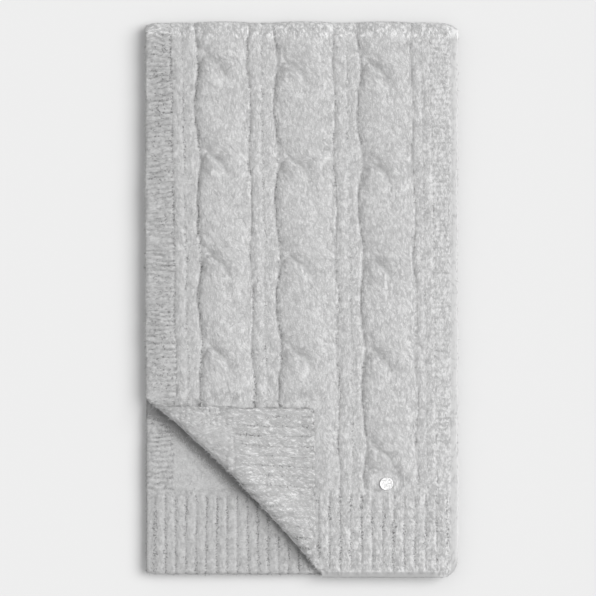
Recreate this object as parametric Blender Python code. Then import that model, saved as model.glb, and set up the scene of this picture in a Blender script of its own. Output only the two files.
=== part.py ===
"""A knit scarf folded in half twice and laid flat, with one lower corner turned back.

The scarf is one strip of thick brushed knit. From the top down it lies as four layers: the front
stretch, the second stretch and two hidden stretches. The front stretch turns over the top edge and
runs into the lowest layer, and the second stretch turns inside it. X runs across the scarf, Y along
it towards the top edge, and Z up from the surface that it rests on.

All sizes are in millimetres, and each vertex is put down in metres.
"""

import math

import bmesh
import bpy

MM = 0.001

# The folded scarf
WIDTH = 300.0
TOP_EDGE = 267.2
HEM_EDGE = -267.2
WALL = 4.2
GAP = 0.3
RIM = 0.8

# Undersides of the layers, from the surface up
HIDDEN_TOP = 2.0 * WALL + GAP
SECOND_BASE = HIDDEN_TOP + GAP
FRONT_BASE = SECOND_BASE + WALL + GAP

# The turn over the top edge, with its centre halfway up the stack
TURN_HEIGHT = (FRONT_BASE + WALL) / 2.0
FRONT_TURN_RADIUS = TURN_HEIGHT - WALL
SECOND_TURN_RADIUS = TURN_HEIGHT - WALL - GAP - WALL
TURN_RISE = 0.9
TURN_LINE = TOP_EDGE - TURN_HEIGHT - TURN_RISE
TURN_STEPS = 6

# Rounding of the corners in plan: how far in the corner starts, and how deep it goes
CORNER_REACH = 45.0
HEM_CORNER_RADIUS = 16.0
TOP_RIGHT_RUN = 20.0
TOP_RIGHT_DEPTH = 5.0
TOP_LEFT_RUN = 8.0
TOP_LEFT_DEPTH = 1.5

# The pattern leans by this much sideways for each unit down the scarf
LEAN = 0.0155
LEAN_CENTRE = 46.0

# Border bands: distance in from the selvedge, height over the wall's underside
BORDER = (
    # inset, rise
    (0.0, 1.8),
    (0.8, 2.9),
    (2.5, 3.7),
    (6.0, 4.3),
    (12.0, 4.8),
    (22.0, 5.0),
)

# Knit columns stand in pairs between the cables
COLUMN_PAIRS = (
    # left gutter, groove, right gutter
    (-124.8, -113.2, -100.0),
    (-50.0, -37.3, -24.0),
    (32.2, 45.5, 56.8),
    (107.9, 117.6, 126.2),
)
COLUMN_RISE = 1.9
COLUMN_GROOVE = 0.8
BORDER_GUTTER = 0.4

# Cables: one strand of the twist, from where it comes out from under the last one, as shares of the
# cable's width. It fills the width half way to the next crossing and passes over it to the right.
CABLE_STEPS = 11
ROWS_PER_CROSSING = 12
CROSSING_PITCH = 93.4
FIRST_CROSSING = 228.4
CABLE_FLOOR = 0.9
STRAND_ROUNDNESS = 0.5
STRAND = (
    # turn, left edge, right edge, rise
    (-0.167, 0.045, 0.045, 0.0),
    (0.000, 0.000, 0.273, 3.0),
    (0.250, 0.000, 0.545, 4.2),
    (0.333, 0.000, 0.636, 4.4),
    (0.500, 0.000, 0.900, 4.7),
    (0.667, 0.000, 1.000, 4.8),
    (0.750, 0.000, 1.000, 4.8),
    (1.000, 0.273, 1.000, 4.7),
    (1.250, 0.545, 1.000, 4.2),
    (1.333, 0.636, 1.000, 3.9),
    (1.500, 0.700, 1.000, 3.2),
    (1.750, 0.850, 1.000, 0.0),
)

# Ribbed hems: the knit changes to rib at the hem line
HEM_LINE = -188.7
CABLE_END_RUN = 14.0
RIB_RISE = 2.0
RIB_GROOVE = 0.2
RIB_CREST = (0.28, 0.72)
FRONT_RIBS = {"last": 139.4, "pitch": 10.35, "count": 18}
CORNER_RIBS = {"last": 27.9, "pitch": 10.0, "count": 17}
SECOND_SET_BACK = 1.6
SECOND_INSET = 0.5
WINDOW_ROW = 8.0
WINDOW_START = 9.0
WINDOW_RUN = 6.0
SECOND_RIBS = {"last": 16.0, "pitch": 9.95, "count": 16}
HEM_ROWS = (-267.2, -266.4, -264.6, -259.0, -240.0, -215.0, -192.0)
HEM_TAPER = (
    # distance from the hem's edge, share of the height there
    (0.0, 0.42),
    (0.8, 0.72),
    (2.6, 0.93),
    (8.2, 1.0),
)

# The turned corner: a crease at 45 degrees, slightly bowed, with a plump roll along it. Its two ends
# are drawn along the selvedge and the hem, away from the middle of the scarf
CREASE_CENTRE = (-59.4, -177.0)
ACROSS = (-math.sqrt(0.5), -math.sqrt(0.5))
ALONG = (math.sqrt(0.5), -math.sqrt(0.5))
CREASE_BOW = 6.2
CREASE_BOW_RUN = 127.8
CREASE_DRAW = 0.5
CREASE_DRAW_START = 104.0
CREASE_DRAW_EASE = 6.0
CUTTER_HALF_LENGTH = 182.0
CUTTER_STEPS = 72
ROLL_RADIUS = 6.0
ROLL_CLOTH = 28.1
ROLL_STEPS = 8
FLAP_DROP = 4.3
FLAP_DROP_RUN = 30.0
FLAP_RELIEF_START = 0.25
FLAP_RELIEF_RUN = 0.35
FLAP_CORNER_RADIUS = 5.0
FLAP_REACH = (WIDTH / 2.0 + CREASE_CENTRE[0] - HEM_EDGE + CREASE_CENTRE[1]) / math.sqrt(2.0) - ROLL_CLOTH
PRESSED_RISE = 3.2
PRESS_MARGIN = 9.0
PRESS_RUN = 8.0

# The badge just above the hem
BADGE_CENTRE = (80.7, -179.6)
BADGE_RADIUS = 6.5
BADGE_THICKNESS = 1.6
BADGE_EDGE = 0.45
BADGE_SEAT = 2.0
BADGE_SEAT_REACH = 12.0
BADGE_SEAT_RUN = 8.0
BADGE_SEGMENTS = 48

# Edges of the two hidden layers: height, distance in from their selvedge
HIDDEN_INSET = 1.5
HIDDEN_HEM = -263.5
HIDDEN_EDGE = (
    # height, inset
    (0.0, 2.2),
    (0.7, 0.8),
    (2.1, 0.0),
    (3.5, 0.7),
    (4.35, 2.6),
    (5.2, 1.2),
    (6.6, 0.5),
    (8.0, 1.2),
    (8.7, 2.8),
)
FOLD_ANGLES = (14.0, 32.0, 50.0, 70.0, 90.0)


def smooth(share):
    """Smooth step from 0 to 1."""
    share = min(1.0, max(0.0, share))
    return share * share * (3.0 - 2.0 * share)


def read_table(table, at, column):
    """Value of a column at a place between the rows of a table, whose first column is the place."""
    if at <= table[0][0]:
        return table[0][column]
    for low, high in zip(table, table[1:]):
        if at <= high[0]:
            share = (at - low[0]) / (high[0] - low[0])
            return low[column] + share * (high[column] - low[column])
    return table[-1][column]


# ---------------------------------------------------------------- places in the folded scarf


def crease_bow(along):
    """How far the crease bows inwards."""
    return CREASE_BOW * max(0.0, 1.0 - (along / CREASE_BOW_RUN) ** 2)


def end_draw(along):
    """How far the crease's ends are drawn along the scarf's edges."""
    beyond = abs(along) - CREASE_DRAW_START
    return CREASE_DRAW * (math.hypot(beyond, CREASE_DRAW_EASE) + beyond) / 2.0


def draw_ends(x, y, along):
    """A point of the plan once the crease's ends are drawn out: the lower end along X, the upper along Y."""
    if along > 0.0:
        return x - end_draw(along), y
    return x, y - end_draw(along)


def crease_place(x, y):
    """How far a point of the plan lies past the crease, and where along it."""
    dx = x - CREASE_CENTRE[0]
    dy = y - CREASE_CENTRE[1]
    plain = dx * ALONG[0] + dy * ALONG[1]
    along = plain
    for _ in range(12):
        along = plain + math.copysign(ALONG[0] * end_draw(along), plain)
    past = dx * ACROSS[0] + dy * ACROSS[1] + ACROSS[0] * end_draw(along) + crease_bow(along)
    return past, along


def hem_lift(x, radius_left, radius_right):
    """How far a hem's rounded corners raise its edge."""
    inset_left = x + WIDTH / 2.0
    inset_right = WIDTH / 2.0 - x
    lift = 0.0
    for inset, radius in ((inset_left, radius_left), (inset_right, radius_right)):
        if inset < radius:
            reach = radius - max(inset, 0.0)
            lift += radius - math.sqrt(max(radius * radius - reach * reach, 0.0))
    return lift


def top_drop(x):
    """How far the top edge falls away at its corners."""
    right = max(0.0, x - WIDTH / 2.0 + TOP_RIGHT_RUN) / TOP_RIGHT_RUN
    left = max(0.0, -x - WIDTH / 2.0 + TOP_LEFT_RUN) / TOP_LEFT_RUN
    return TOP_RIGHT_DEPTH * right * right + TOP_LEFT_DEPTH * left * left


def settle(x, y, radius_left, radius_right):
    """The y of a row of the cloth once the corners are rounded."""
    near_hem = max(0.0, 1.0 - (y - HEM_EDGE) / CORNER_REACH)
    near_top = max(0.0, 1.0 - (TURN_LINE - y) / CORNER_REACH)
    return y + hem_lift(x, radius_left, radius_right) * near_hem - top_drop(x) * near_top


def turn_over(x, angle, radius, height):
    """A point of a stretch where it turns over the top edge, at a height over its inner side."""
    reach = radius + height
    y = TURN_LINE - top_drop(x) + reach * math.sin(angle)
    return y, TURN_HEIGHT + reach * math.cos(angle)


# ---------------------------------------------------------------- relief of the knit


def strand_rise(share, turn):
    """Height of one strand of a cable at a share of the cable's width."""
    left = read_table(STRAND, turn, 1)
    right = read_table(STRAND, turn, 2)
    if right - left < 0.02 or not left < share < right:
        return 0.0
    place = (share - left) / (right - left)
    return read_table(STRAND, turn, 3) * (4.0 * place * (1.0 - place)) ** STRAND_ROUNDNESS


def cable_rise(share, y):
    """Height of a cable over the wall: strands cross from left to right down the scarf."""
    turn = ((FIRST_CROSSING - y) / CROSSING_PITCH) % 1.0
    strands = (strand_rise(share, turn + passed) for passed in (-1.0, 0.0, 1.0, 2.0))
    floor = CABLE_FLOOR * smooth(share / 0.09) * smooth((1.0 - share) / 0.09)
    return max(floor, max(strands))


def border_rise(x):
    """Height of a border band, whose edge thins towards the selvedge."""
    return read_table(BORDER, WIDTH / 2.0 - abs(x), 1)


def body_columns():
    """(x, height, cable share) of each vertex across a row of the body, from left to right."""
    half = WIDTH / 2.0
    points = [(inset - half, rise, None) for inset, rise in BORDER]
    for pair, (left, groove, right) in enumerate(COLUMN_PAIRS):
        first = WALL + (BORDER_GUTTER if pair == 0 else 0.0)
        last = WALL + (BORDER_GUTTER if pair == len(COLUMN_PAIRS) - 1 else 0.0)
        if pair:
            cable_left = COLUMN_PAIRS[pair - 1][2]
            for step in range(1, CABLE_STEPS):
                share = step / CABLE_STEPS
                points.append((cable_left + share * (left - cable_left), WALL, share))
        points.append((left, first, None))
        for low, high in ((left, groove), (groove, right)):
            points.append((low + 0.27 * (high - low), WALL + COLUMN_RISE, None))
            points.append((low + 0.73 * (high - low), WALL + COLUMN_RISE, None))
            if high == groove:
                points.append((groove, WALL + COLUMN_GROOVE, None))
        points.append((right, last, None))
    points += [(half - inset, rise, None) for inset, rise in reversed(BORDER)]
    return points


def rib_columns(ribs, margins):
    """(x, rib rise) of each vertex across a ribbed hem, from left to right."""
    half = WIDTH / 2.0
    start = ribs["last"] - ribs["count"] * ribs["pitch"]
    points = [(x, 0.0) for x in margins if x < start - 1.0]
    for rib in range(ribs["count"]):
        groove = start + rib * ribs["pitch"]
        points.append((groove, RIB_GROOVE))
        for share in RIB_CREST:
            points.append((groove + share * ribs["pitch"], RIB_RISE))
    points.append((ribs["last"], RIB_GROOVE))
    points += [(x, 0.0) for x in margins if x > ribs["last"] + 1.0]
    return [(x, rise) for x, rise in points if abs(x) <= half]


def press(x, y, rise):
    """Relief of the front stretch, pressed where the turned corner or the badge bears on it."""
    past, along = crease_place(x, y)
    inside = (FLAP_REACH - abs(along) + past) / math.sqrt(2.0)
    if rise > PRESSED_RISE:
        rise += (PRESSED_RISE - rise) * smooth((inside + PRESS_MARGIN) / PRESS_RUN)
    if past > -2.0 * ROLL_RADIUS:
        rise = min(rise, PRESSED_RISE * smooth(-past / (2.0 * ROLL_RADIUS)))
    from_badge = math.hypot(x - BADGE_CENTRE[0], y - BADGE_CENTRE[1])
    if rise > BADGE_SEAT:
        free = smooth((from_badge - BADGE_SEAT_REACH) / BADGE_SEAT_RUN)
        rise = BADGE_SEAT + (rise - BADGE_SEAT) * free
    return rise


# ---------------------------------------------------------------- solids


def collection(name):
    """A new collection in the scene."""
    made = bpy.data.collections.new(name)
    bpy.context.scene.collection.children.link(made)
    return made


def material(name, colour, roughness, metallic):
    """A Principled material."""
    made = bpy.data.materials.new(name)
    made.use_nodes = True
    shader = made.node_tree.nodes["Principled BSDF"]
    shader.inputs["Base Color"].default_value = (*colour, 1.0)
    shader.inputs["Roughness"].default_value = roughness
    shader.inputs["Metallic"].default_value = metallic
    return made


def add_row(mesh, points):
    """Vertices of a row of points given in millimetres."""
    return [mesh.verts.new((x * MM, y * MM, z * MM)) for x, y, z in points]


def join_rows(mesh, low, high, turned):
    """Faces between two rows of vertices that both run from left to right."""
    faces = []
    if len(low) == len(high):
        for at in range(len(low) - 1):
            faces.append((low[at], low[at + 1], high[at + 1], high[at]))
    else:
        here, there = 0, 0
        while here < len(low) - 1 or there < len(high) - 1:
            ahead_low = low[here + 1].co.x if here < len(low) - 1 else math.inf
            ahead_high = high[there + 1].co.x if there < len(high) - 1 else math.inf
            if ahead_low <= ahead_high:
                faces.append((low[here], low[here + 1], high[there]))
                here += 1
            else:
                faces.append((low[here], high[there + 1], high[there]))
                there += 1
    for corners in faces:
        mesh.faces.new(tuple(reversed(corners)) if turned else corners)


def split_cables(mesh, rows):
    """Cuts the quads of the body from upper left to lower right, the way the strands run."""
    for low, high in zip(rows, rows[1:]):
        if len(low) != len(high):
            continue
        for at in range(len(low) - 1):
            face = next(
                (
                    found
                    for found in low[at + 1].link_faces
                    if len(found.verts) == 4 and high[at] in found.verts and low[at] in found.verts
                ),
                None,
            )
            if face:
                bmesh.utils.face_split(face, high[at], low[at + 1])


def close_sheet(mesh, outer, inner):
    """Closes a wall between its outer rows and its inner rows."""
    for low, high in zip(outer, outer[1:]):
        join_rows(mesh, low, high, False)
    for low, high in zip(inner, inner[1:]):
        join_rows(mesh, low, high, True)
    join_rows(mesh, inner[0], outer[0], False)
    join_rows(mesh, inner[-1], outer[-1], True)
    for side, turned in ((0, True), (-1, False)):
        for at in range(len(outer) - 1):
            corners = (inner[at][side], inner[at + 1][side], outer[at + 1][side], outer[at][side])
            mesh.faces.new(tuple(reversed(corners)) if turned else corners)


def finish(mesh, name, surface, home):
    """Turns a mesh into a named object with its material."""
    bmesh.ops.recalc_face_normals(mesh, faces=mesh.faces)
    data = bpy.data.meshes.new(name)
    mesh.to_mesh(data)
    mesh.free()
    made = bpy.data.objects.new(name, data)
    made.data.materials.append(surface)
    home.objects.link(made)
    return made


def merge_flats(mesh):
    """Merges neighbouring faces that lie in one plane."""
    bmesh.ops.dissolve_limit(
        mesh,
        angle_limit=math.radians(0.02),
        use_dissolve_boundaries=False,
        verts=mesh.verts[:],
        edges=mesh.edges[:],
    )


def rim_inset(x):
    """The x of a vertex of the rim's underside, set in from the selvedges."""
    return max(RIM - WIDTH / 2.0, min(WIDTH / 2.0 - RIM, x))


def inner_columns():
    """x of the few vertices across a wall's plain inner side."""
    half = WIDTH / 2.0
    left = (RIM, TOP_LEFT_RUN / 2.0, TOP_LEFT_RUN)
    right = (TOP_RIGHT_RUN, 0.66 * TOP_RIGHT_RUN, 0.33 * TOP_RIGHT_RUN, 0.12 * TOP_RIGHT_RUN, RIM)
    return [inset - half for inset in left] + [half - inset for inset in right]


def build_front(home, cutters):
    """The stretch on top, from its ribbed hem to where it turns under at the top edge."""
    mesh = bmesh.new()
    outer = []
    inner = []
    hem = rib_columns(FRONT_RIBS, [column[0] for column in body_columns()])
    for row in HEM_ROWS:
        taper = read_table(HEM_TAPER, row - HEM_EDGE, 1)
        points = []
        for x, rib in hem:
            edge = smooth((WIDTH / 2.0 - abs(x)) / 8.0)
            rise = press(x, row, rib * edge)
            height = (min(WALL, border_rise(x)) + rise) * taper
            y = settle(x, row, HEM_CORNER_RADIUS, HEM_CORNER_RADIUS)
            points.append((x, y, FRONT_BASE + height))
        outer.append(add_row(mesh, points))
        if row == HEM_EDGE:
            inner.append((row + RIM, 0.0, [rim_inset(x) for x, _ in hem]))
        else:
            inner.append((max(row, HEM_EDGE + 2.0 * RIM), 0.0, inner_columns()))

    pitch = CROSSING_PITCH / ROWS_PER_CROSSING
    lowest = math.ceil((HEM_LINE + 3.0 - FIRST_CROSSING) / pitch)
    highest = math.floor((TURN_LINE - 4.0 - FIRST_CROSSING) / pitch)
    levels = [(FIRST_CROSSING + step * pitch, 0.0) for step in range(lowest, highest + 1)]
    levels.append((TURN_LINE, 0.0))
    levels += [(TURN_LINE, math.pi * (step + 1) / TURN_STEPS) for step in range(TURN_STEPS)]
    body_start = len(outer)
    for row, angle in levels:
        cloth = row + angle * (FRONT_TURN_RADIUS + WALL / 2.0)
        grown = smooth((row - HEM_LINE) / CABLE_END_RUN)
        shown = max(0.0, 1.0 - angle / (0.8 * math.pi)) ** 1.3
        points = []
        for x, height, share in body_columns():
            leaning = LEAN * (LEAN_CENTRE - cloth) * smooth((WIDTH / 2.0 - abs(x)) / 24.0)
            rise = height - WALL
            if share is not None:
                rise = cable_rise(share, cloth) * (0.3 + 0.7 * grown)
            x += leaning
            if rise > 0.0:
                rise = press(x, row, rise) * shown
            elif angle > 0.5 * math.pi:
                rise *= max(0.0, 2.0 - 2.0 * angle / math.pi)
            if angle > 0.0:
                y, z = turn_over(x, angle, FRONT_TURN_RADIUS, WALL + rise)
            else:
                y = settle(x, row, HEM_CORNER_RADIUS, HEM_CORNER_RADIUS)
                z = FRONT_BASE + WALL + rise
            points.append((x, y, z))
        outer.append(add_row(mesh, points))
        inner.append((row, angle, inner_columns()))

    lining = []
    for row, angle, across in inner:
        points = []
        for x in across:
            if angle > 0.0:
                points.append((x, *turn_over(x, angle, FRONT_TURN_RADIUS, 0.0)))
            else:
                y = settle(x, row, HEM_CORNER_RADIUS, HEM_CORNER_RADIUS)
                points.append((x, y, FRONT_BASE))
        lining.append(add_row(mesh, points))
    close_sheet(mesh, outer, lining)
    split_cables(mesh, outer[body_start:])
    merge_flats(mesh)
    knit = material("front_knit", (0.62, 0.62, 0.62), 0.95, 0.0)
    front = finish(mesh, "front_stretch", knit, home)

    cutter = bmesh.new()
    outline = []
    for step in range(CUTTER_STEPS + 1):
        along = CUTTER_HALF_LENGTH * (2.0 * step / CUTTER_STEPS - 1.0)
        past = -crease_bow(along)
        x = CREASE_CENTRE[0] + along * ALONG[0] + past * ACROSS[0]
        y = CREASE_CENTRE[1] + along * ALONG[1] + past * ACROSS[1]
        outline.append(draw_ends(x, y, along))
    outline.append((outline[-1][0] - 260.0, outline[-1][1] - 20.0))
    low = add_row(cutter, [(x, y, FRONT_BASE - 10.0) for x, y in outline])
    high = add_row(cutter, [(x, y, FRONT_BASE + 20.0) for x, y in outline])
    cutter.faces.new(low)
    cutter.faces.new(list(reversed(high)))
    for at in range(len(low)):
        after = (at + 1) % len(low)
        cutter.faces.new((low[at], high[at], high[after], low[after]))
    tool = finish(cutter, "corner_cutter", material("cutter", (0.8, 0.2, 0.2), 0.5, 0.0), cutters)
    tool.hide_render = True
    tool.display_type = "WIRE"
    cut = front.modifiers.new("turned corner", "BOOLEAN")
    cut.operation = "DIFFERENCE"
    cut.solver = "EXACT"
    cut.object = tool
    return front


def build_corner(home):
    """The turned corner: made flat, then rolled over the crease with its wrong side up."""
    mesh = bmesh.new()
    half = WALL / 2.0
    margins = [inset - WIDTH / 2.0 for inset in (0.0, 0.8, 2.1, 4.5)] + [38.0, 52.0]
    columns = rib_columns(CORNER_RIBS, margins)
    rows = HEM_ROWS + (-187.0, -130.0, -70.0)
    right_side = []
    wrong_side = []
    for row in rows:
        inset_y = row - HEM_EDGE
        over = []
        under = []
        for x, rib in columns:
            inset = min(x + WIDTH / 2.0, inset_y)
            reach = 1.0 - min(inset, half) / half
            thick = half * math.sqrt(max(0.0, 1.0 - reach * reach))
            ribbed = 1.0 if row < HEM_LINE else 0.0
            fade = smooth(min(inset_y, x + WIDTH / 2.0 - 1.0) / 7.0)
            y = settle(x, row, FLAP_CORNER_RADIUS, FLAP_CORNER_RADIUS)
            over.append((x, y, thick))
            under.append((x, y, -thick - rib * ribbed * fade))
        right_side.append(add_row(mesh, over))
        wrong_side.append(add_row(mesh, under))
    close_sheet(mesh, right_side, wrong_side)
    bmesh.ops.remove_doubles(mesh, verts=mesh.verts[:], dist=0.01 * MM)
    merge_flats(mesh)

    centre = (CREASE_CENTRE[0] * MM, CREASE_CENTRE[1] * MM, 0.0)
    normal = (ACROSS[0], ACROSS[1], 0.0)
    cuts = [GAP] + [ROLL_CLOTH * step / ROLL_STEPS for step in range(1, ROLL_STEPS + 1)]
    cuts += [ROLL_CLOTH + FLAP_DROP_RUN * share for share in (0.4, 1.0)]
    for at, past in enumerate(cuts):
        place = tuple(centre[axis] + normal[axis] * past * MM for axis in range(3))
        made = bmesh.ops.bisect_plane(
            mesh,
            geom=mesh.verts[:] + mesh.edges[:] + mesh.faces[:],
            dist=0.001 * MM,
            plane_co=place,
            plane_no=normal,
            clear_inner=at == 0,
        )
        if at == 0:
            edges = [part for part in made["geom_cut"] if isinstance(part, bmesh.types.BMEdge)]
            bmesh.ops.edgeloop_fill(mesh, edges=edges)

    for vert in mesh.verts:
        vert.co = roll_over(vert.co.x / MM, vert.co.y / MM, vert.co.z / MM)
    return finish(mesh, "turned_corner", material("corner_knit", (0.6, 0.6, 0.6), 0.95, 0.0), home)


def roll_over(x, y, level):
    """Carries a point of the flat corner round the roll. Level is its height over mid wall."""
    half = WALL / 2.0
    dx = x - CREASE_CENTRE[0]
    dy = y - CREASE_CENTRE[1]
    past = dx * ACROSS[0] + dy * ACROSS[1]
    along = dx * ALONG[0] + dy * ALONG[1]
    if level < -half:
        share = past / ROLL_CLOTH
        level = -half + (level + half) * smooth((share - FLAP_RELIEF_START) / FLAP_RELIEF_RUN)
    middle = FRONT_BASE + half
    radius = ROLL_RADIUS - level
    if past < ROLL_CLOTH:
        angle = math.pi * past / ROLL_CLOTH
        out = radius * math.sin(angle)
        z = middle + ROLL_RADIUS - radius * math.cos(angle)
        bow = crease_bow(along)
    else:
        beyond = past - ROLL_CLOTH
        out = -beyond
        z = middle + ROLL_RADIUS + radius - FLAP_DROP * smooth(beyond / FLAP_DROP_RUN)
        bow = crease_bow(along) * smooth(1.0 - beyond / (2.0 * FLAP_DROP_RUN))
    out -= bow
    place_x = CREASE_CENTRE[0] + along * ALONG[0] + out * ACROSS[0]
    place_y = CREASE_CENTRE[1] + along * ALONG[1] + out * ACROSS[1]
    place_x, place_y = draw_ends(place_x, place_y, along)
    return (place_x * MM, place_y * MM, z * MM)


def build_second(home):
    """The stretch under the front one, ribbed where the turned corner uncovers it."""
    mesh = bmesh.new()
    left = [inset - WIDTH / 2.0 for inset in (SECOND_INSET, 1.3, 3.0, 7.0)]
    right = [WIDTH / 2.0 - inset for inset in (20.0, 13.0, 7.0, 3.0, 1.3, SECOND_INSET)]
    window = rib_columns(SECOND_RIBS, left + right)
    plain = [(x, 0.0) for x in left + right]
    levels = [(row + SECOND_SET_BACK, 0.0, window) for row in HEM_ROWS[:4]]
    levels += [(HEM_LINE - step * WINDOW_ROW, 0.0, window) for step in range(8, 0, -1)]
    levels += [(HEM_LINE + step * WINDOW_ROW, 0.0, window) for step in range(1, 10)]
    levels += [(-90.0, 0.0, plain), (TURN_LINE - CORNER_REACH, 0.0, plain), (TURN_LINE, 0.0, plain)]
    levels += [(TURN_LINE, math.pi * (step + 1) / TURN_STEPS, plain) for step in range(TURN_STEPS)]
    outer = []
    inner = []
    for row, angle, columns in levels:
        taper = read_table(HEM_TAPER, row - HEM_EDGE - SECOND_SET_BACK, 1)
        over = []
        for x, rib in columns:
            past, _ = crease_place(x, row)
            shown = smooth((past - WINDOW_START) / WINDOW_RUN)
            edge = smooth((x + WIDTH / 2.0) / 8.0)
            ribbed = 1.0 if row < HEM_LINE else 0.0
            thick = min(WALL, border_rise(abs(x) + SECOND_INSET))
            height = (thick + rib * ribbed * shown * edge) * taper
            if angle > 0.0:
                over.append((x, *turn_over(x, angle, SECOND_TURN_RADIUS, min(height, WALL))))
            else:
                y = settle(x, row, FLAP_CORNER_RADIUS, HEM_CORNER_RADIUS)
                over.append((x, y, SECOND_BASE + height))
        outer.append(add_row(mesh, over))
        under = []
        start = HEM_EDGE + SECOND_SET_BACK
        base = max(row, start + 2.0 * RIM)
        across = inner_columns()
        if row == start:
            base = start + RIM
            across = [rim_inset(x) for x, _ in columns]
        for x in across:
            x *= 1.0 - 2.0 * SECOND_INSET / WIDTH
            if angle > 0.0:
                under.append((x, *turn_over(x, angle, SECOND_TURN_RADIUS, 0.0)))
            else:
                y = settle(x, base, FLAP_CORNER_RADIUS, HEM_CORNER_RADIUS)
                under.append((x, y, SECOND_BASE))
        inner.append(add_row(mesh, under))
    close_sheet(mesh, outer, inner)
    merge_flats(mesh)
    return finish(mesh, "second_stretch", material("second_knit", (0.6, 0.6, 0.6), 0.95, 0.0), home)


def build_hidden(home):
    """The two hidden layers, joined at the fold along the bottom."""
    mesh = bmesh.new()
    half = WIDTH / 2.0 - HIDDEN_INSET
    middle = HIDDEN_TOP / 2.0
    rings = []
    stations = []
    for angle in FOLD_ANGLES:
        turned = math.radians(angle)
        stations.append((HIDDEN_HEM + middle * (1.0 - math.cos(turned)), math.sin(turned)))
    stations.append((TURN_LINE - CORNER_REACH, 1.0))
    stations.append((TURN_LINE - GAP, 1.0))
    across = [-half + TOP_LEFT_RUN, half - TOP_RIGHT_RUN, half - 0.5 * TOP_RIGHT_RUN]
    for y, share in stations:
        profile = [(half - inset, z) for z, inset in HIDDEN_EDGE]
        profile += [(x, HIDDEN_TOP) for x in reversed(across)]
        profile += [(inset - half, z) for z, inset in reversed(HIDDEN_EDGE)]
        profile += [(x, 0.0) for x in across]
        ring = []
        for x, z in profile:
            rounded = settle(x, y, HEM_CORNER_RADIUS, HEM_CORNER_RADIUS)
            ring.append((x, rounded, middle + (z - middle) * share))
        rings.append(add_row(mesh, ring))
    for low, high in zip(rings, rings[1:]):
        for at in range(len(low)):
            after = (at + 1) % len(low)
            mesh.faces.new((low[at], low[after], high[after], high[at]))
    mesh.faces.new(list(reversed(rings[0])))
    mesh.faces.new(rings[-1])
    merge_flats(mesh)
    return finish(mesh, "folded_stretches", material("hidden_knit", (0.55, 0.55, 0.55), 0.95, 0.0), home)


def build_badge(home):
    """The bare metal disc, resting on the knit."""
    mesh = bmesh.new()
    base = FRONT_BASE + WALL + BADGE_SEAT + GAP
    top = base + BADGE_THICKNESS
    profile = (
        (BADGE_RADIUS - BADGE_EDGE, base),
        (BADGE_RADIUS, base + BADGE_EDGE),
        (BADGE_RADIUS, top - BADGE_EDGE),
        (BADGE_RADIUS - BADGE_EDGE, top),
        (BADGE_RADIUS - 2.2 * BADGE_EDGE, top),
        (BADGE_RADIUS - 2.8 * BADGE_EDGE, top - 0.4 * BADGE_EDGE),
    )
    rings = []
    for radius, z in profile:
        ring = []
        for step in range(BADGE_SEGMENTS):
            angle = 2.0 * math.pi * step / BADGE_SEGMENTS
            x = BADGE_CENTRE[0] + radius * math.cos(angle)
            y = BADGE_CENTRE[1] + radius * math.sin(angle)
            ring.append((x, y, z))
        rings.append(add_row(mesh, ring))
    for low, high in zip(rings, rings[1:]):
        for at in range(BADGE_SEGMENTS):
            after = (at + 1) % BADGE_SEGMENTS
            mesh.faces.new((low[at], low[after], high[after], high[at]))
    mesh.faces.new(list(reversed(rings[0])))
    mesh.faces.new(rings[-1])
    return finish(mesh, "badge", material("badge_metal", (0.85, 0.85, 0.86), 0.3, 1.0), home)


for leftover in list(bpy.data.objects):
    bpy.data.objects.remove(leftover)
scarf = collection("knit_scarf")
tools = collection("cutters")
build_front(scarf, tools)
build_corner(scarf)
build_second(scarf)
build_hidden(scarf)
build_badge(scarf)
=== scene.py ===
"""Dresses the folded knit scarf: brushed knit shells over the frame's solids, their fuzz, and the badge.

Sizes are in millimetres in the same frame as the solids, and each vertex is put down in metres.
"""

import math

import bpy
import numpy as np
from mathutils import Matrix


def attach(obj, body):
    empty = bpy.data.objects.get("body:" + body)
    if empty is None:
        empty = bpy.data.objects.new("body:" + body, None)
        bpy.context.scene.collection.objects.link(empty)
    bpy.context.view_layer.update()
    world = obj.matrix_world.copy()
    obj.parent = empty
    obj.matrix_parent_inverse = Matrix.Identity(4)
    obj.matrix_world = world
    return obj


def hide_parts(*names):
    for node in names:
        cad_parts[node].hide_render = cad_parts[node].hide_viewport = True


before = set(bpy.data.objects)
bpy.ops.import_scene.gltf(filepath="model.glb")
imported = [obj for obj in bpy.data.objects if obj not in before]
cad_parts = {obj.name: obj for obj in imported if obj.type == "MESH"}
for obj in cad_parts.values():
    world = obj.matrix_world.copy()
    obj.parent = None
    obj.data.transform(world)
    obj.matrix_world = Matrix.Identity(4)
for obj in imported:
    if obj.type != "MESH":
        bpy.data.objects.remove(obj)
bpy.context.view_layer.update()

MM = 0.001
DETAIL = 1.45
COLUMN_STEP = 0.91 * DETAIL
CORNER_STEP = 0.862 * DETAIL

# The folded scarf, as in the solids
WIDTH = 300.0
HALF = WIDTH / 2.0
TOP_EDGE = 267.2
HEM_EDGE = -267.2
WALL = 4.2
GAP = 0.3
HIDDEN_TOP = 8.7
SECOND_BASE = 9.0
FRONT_BASE = 13.5
TURN_HEIGHT = 8.85
FRONT_TURN_RADIUS = 4.65
SECOND_TURN_RADIUS = 0.15
TURN_LINE = 257.45
CORNER_REACH = 45.0
HEM_CORNER_RADIUS = 16.0
TOP_RIGHT_RUN = 20.0
TOP_RIGHT_DEPTH = 5.0
TOP_LEFT_RUN = 8.0
TOP_LEFT_DEPTH = 1.5
LEAN = 0.0155
LEAN_CENTRE = 46.0
BORDER = (
    # inset from the selvedge, rise over the underside
    (0.0, 1.8),
    (0.3, 2.35),
    (0.8, 2.9),
    (2.5, 3.7),
    (6.0, 4.3),
    (12.0, 4.8),
    (22.0, 5.0),
)
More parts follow.
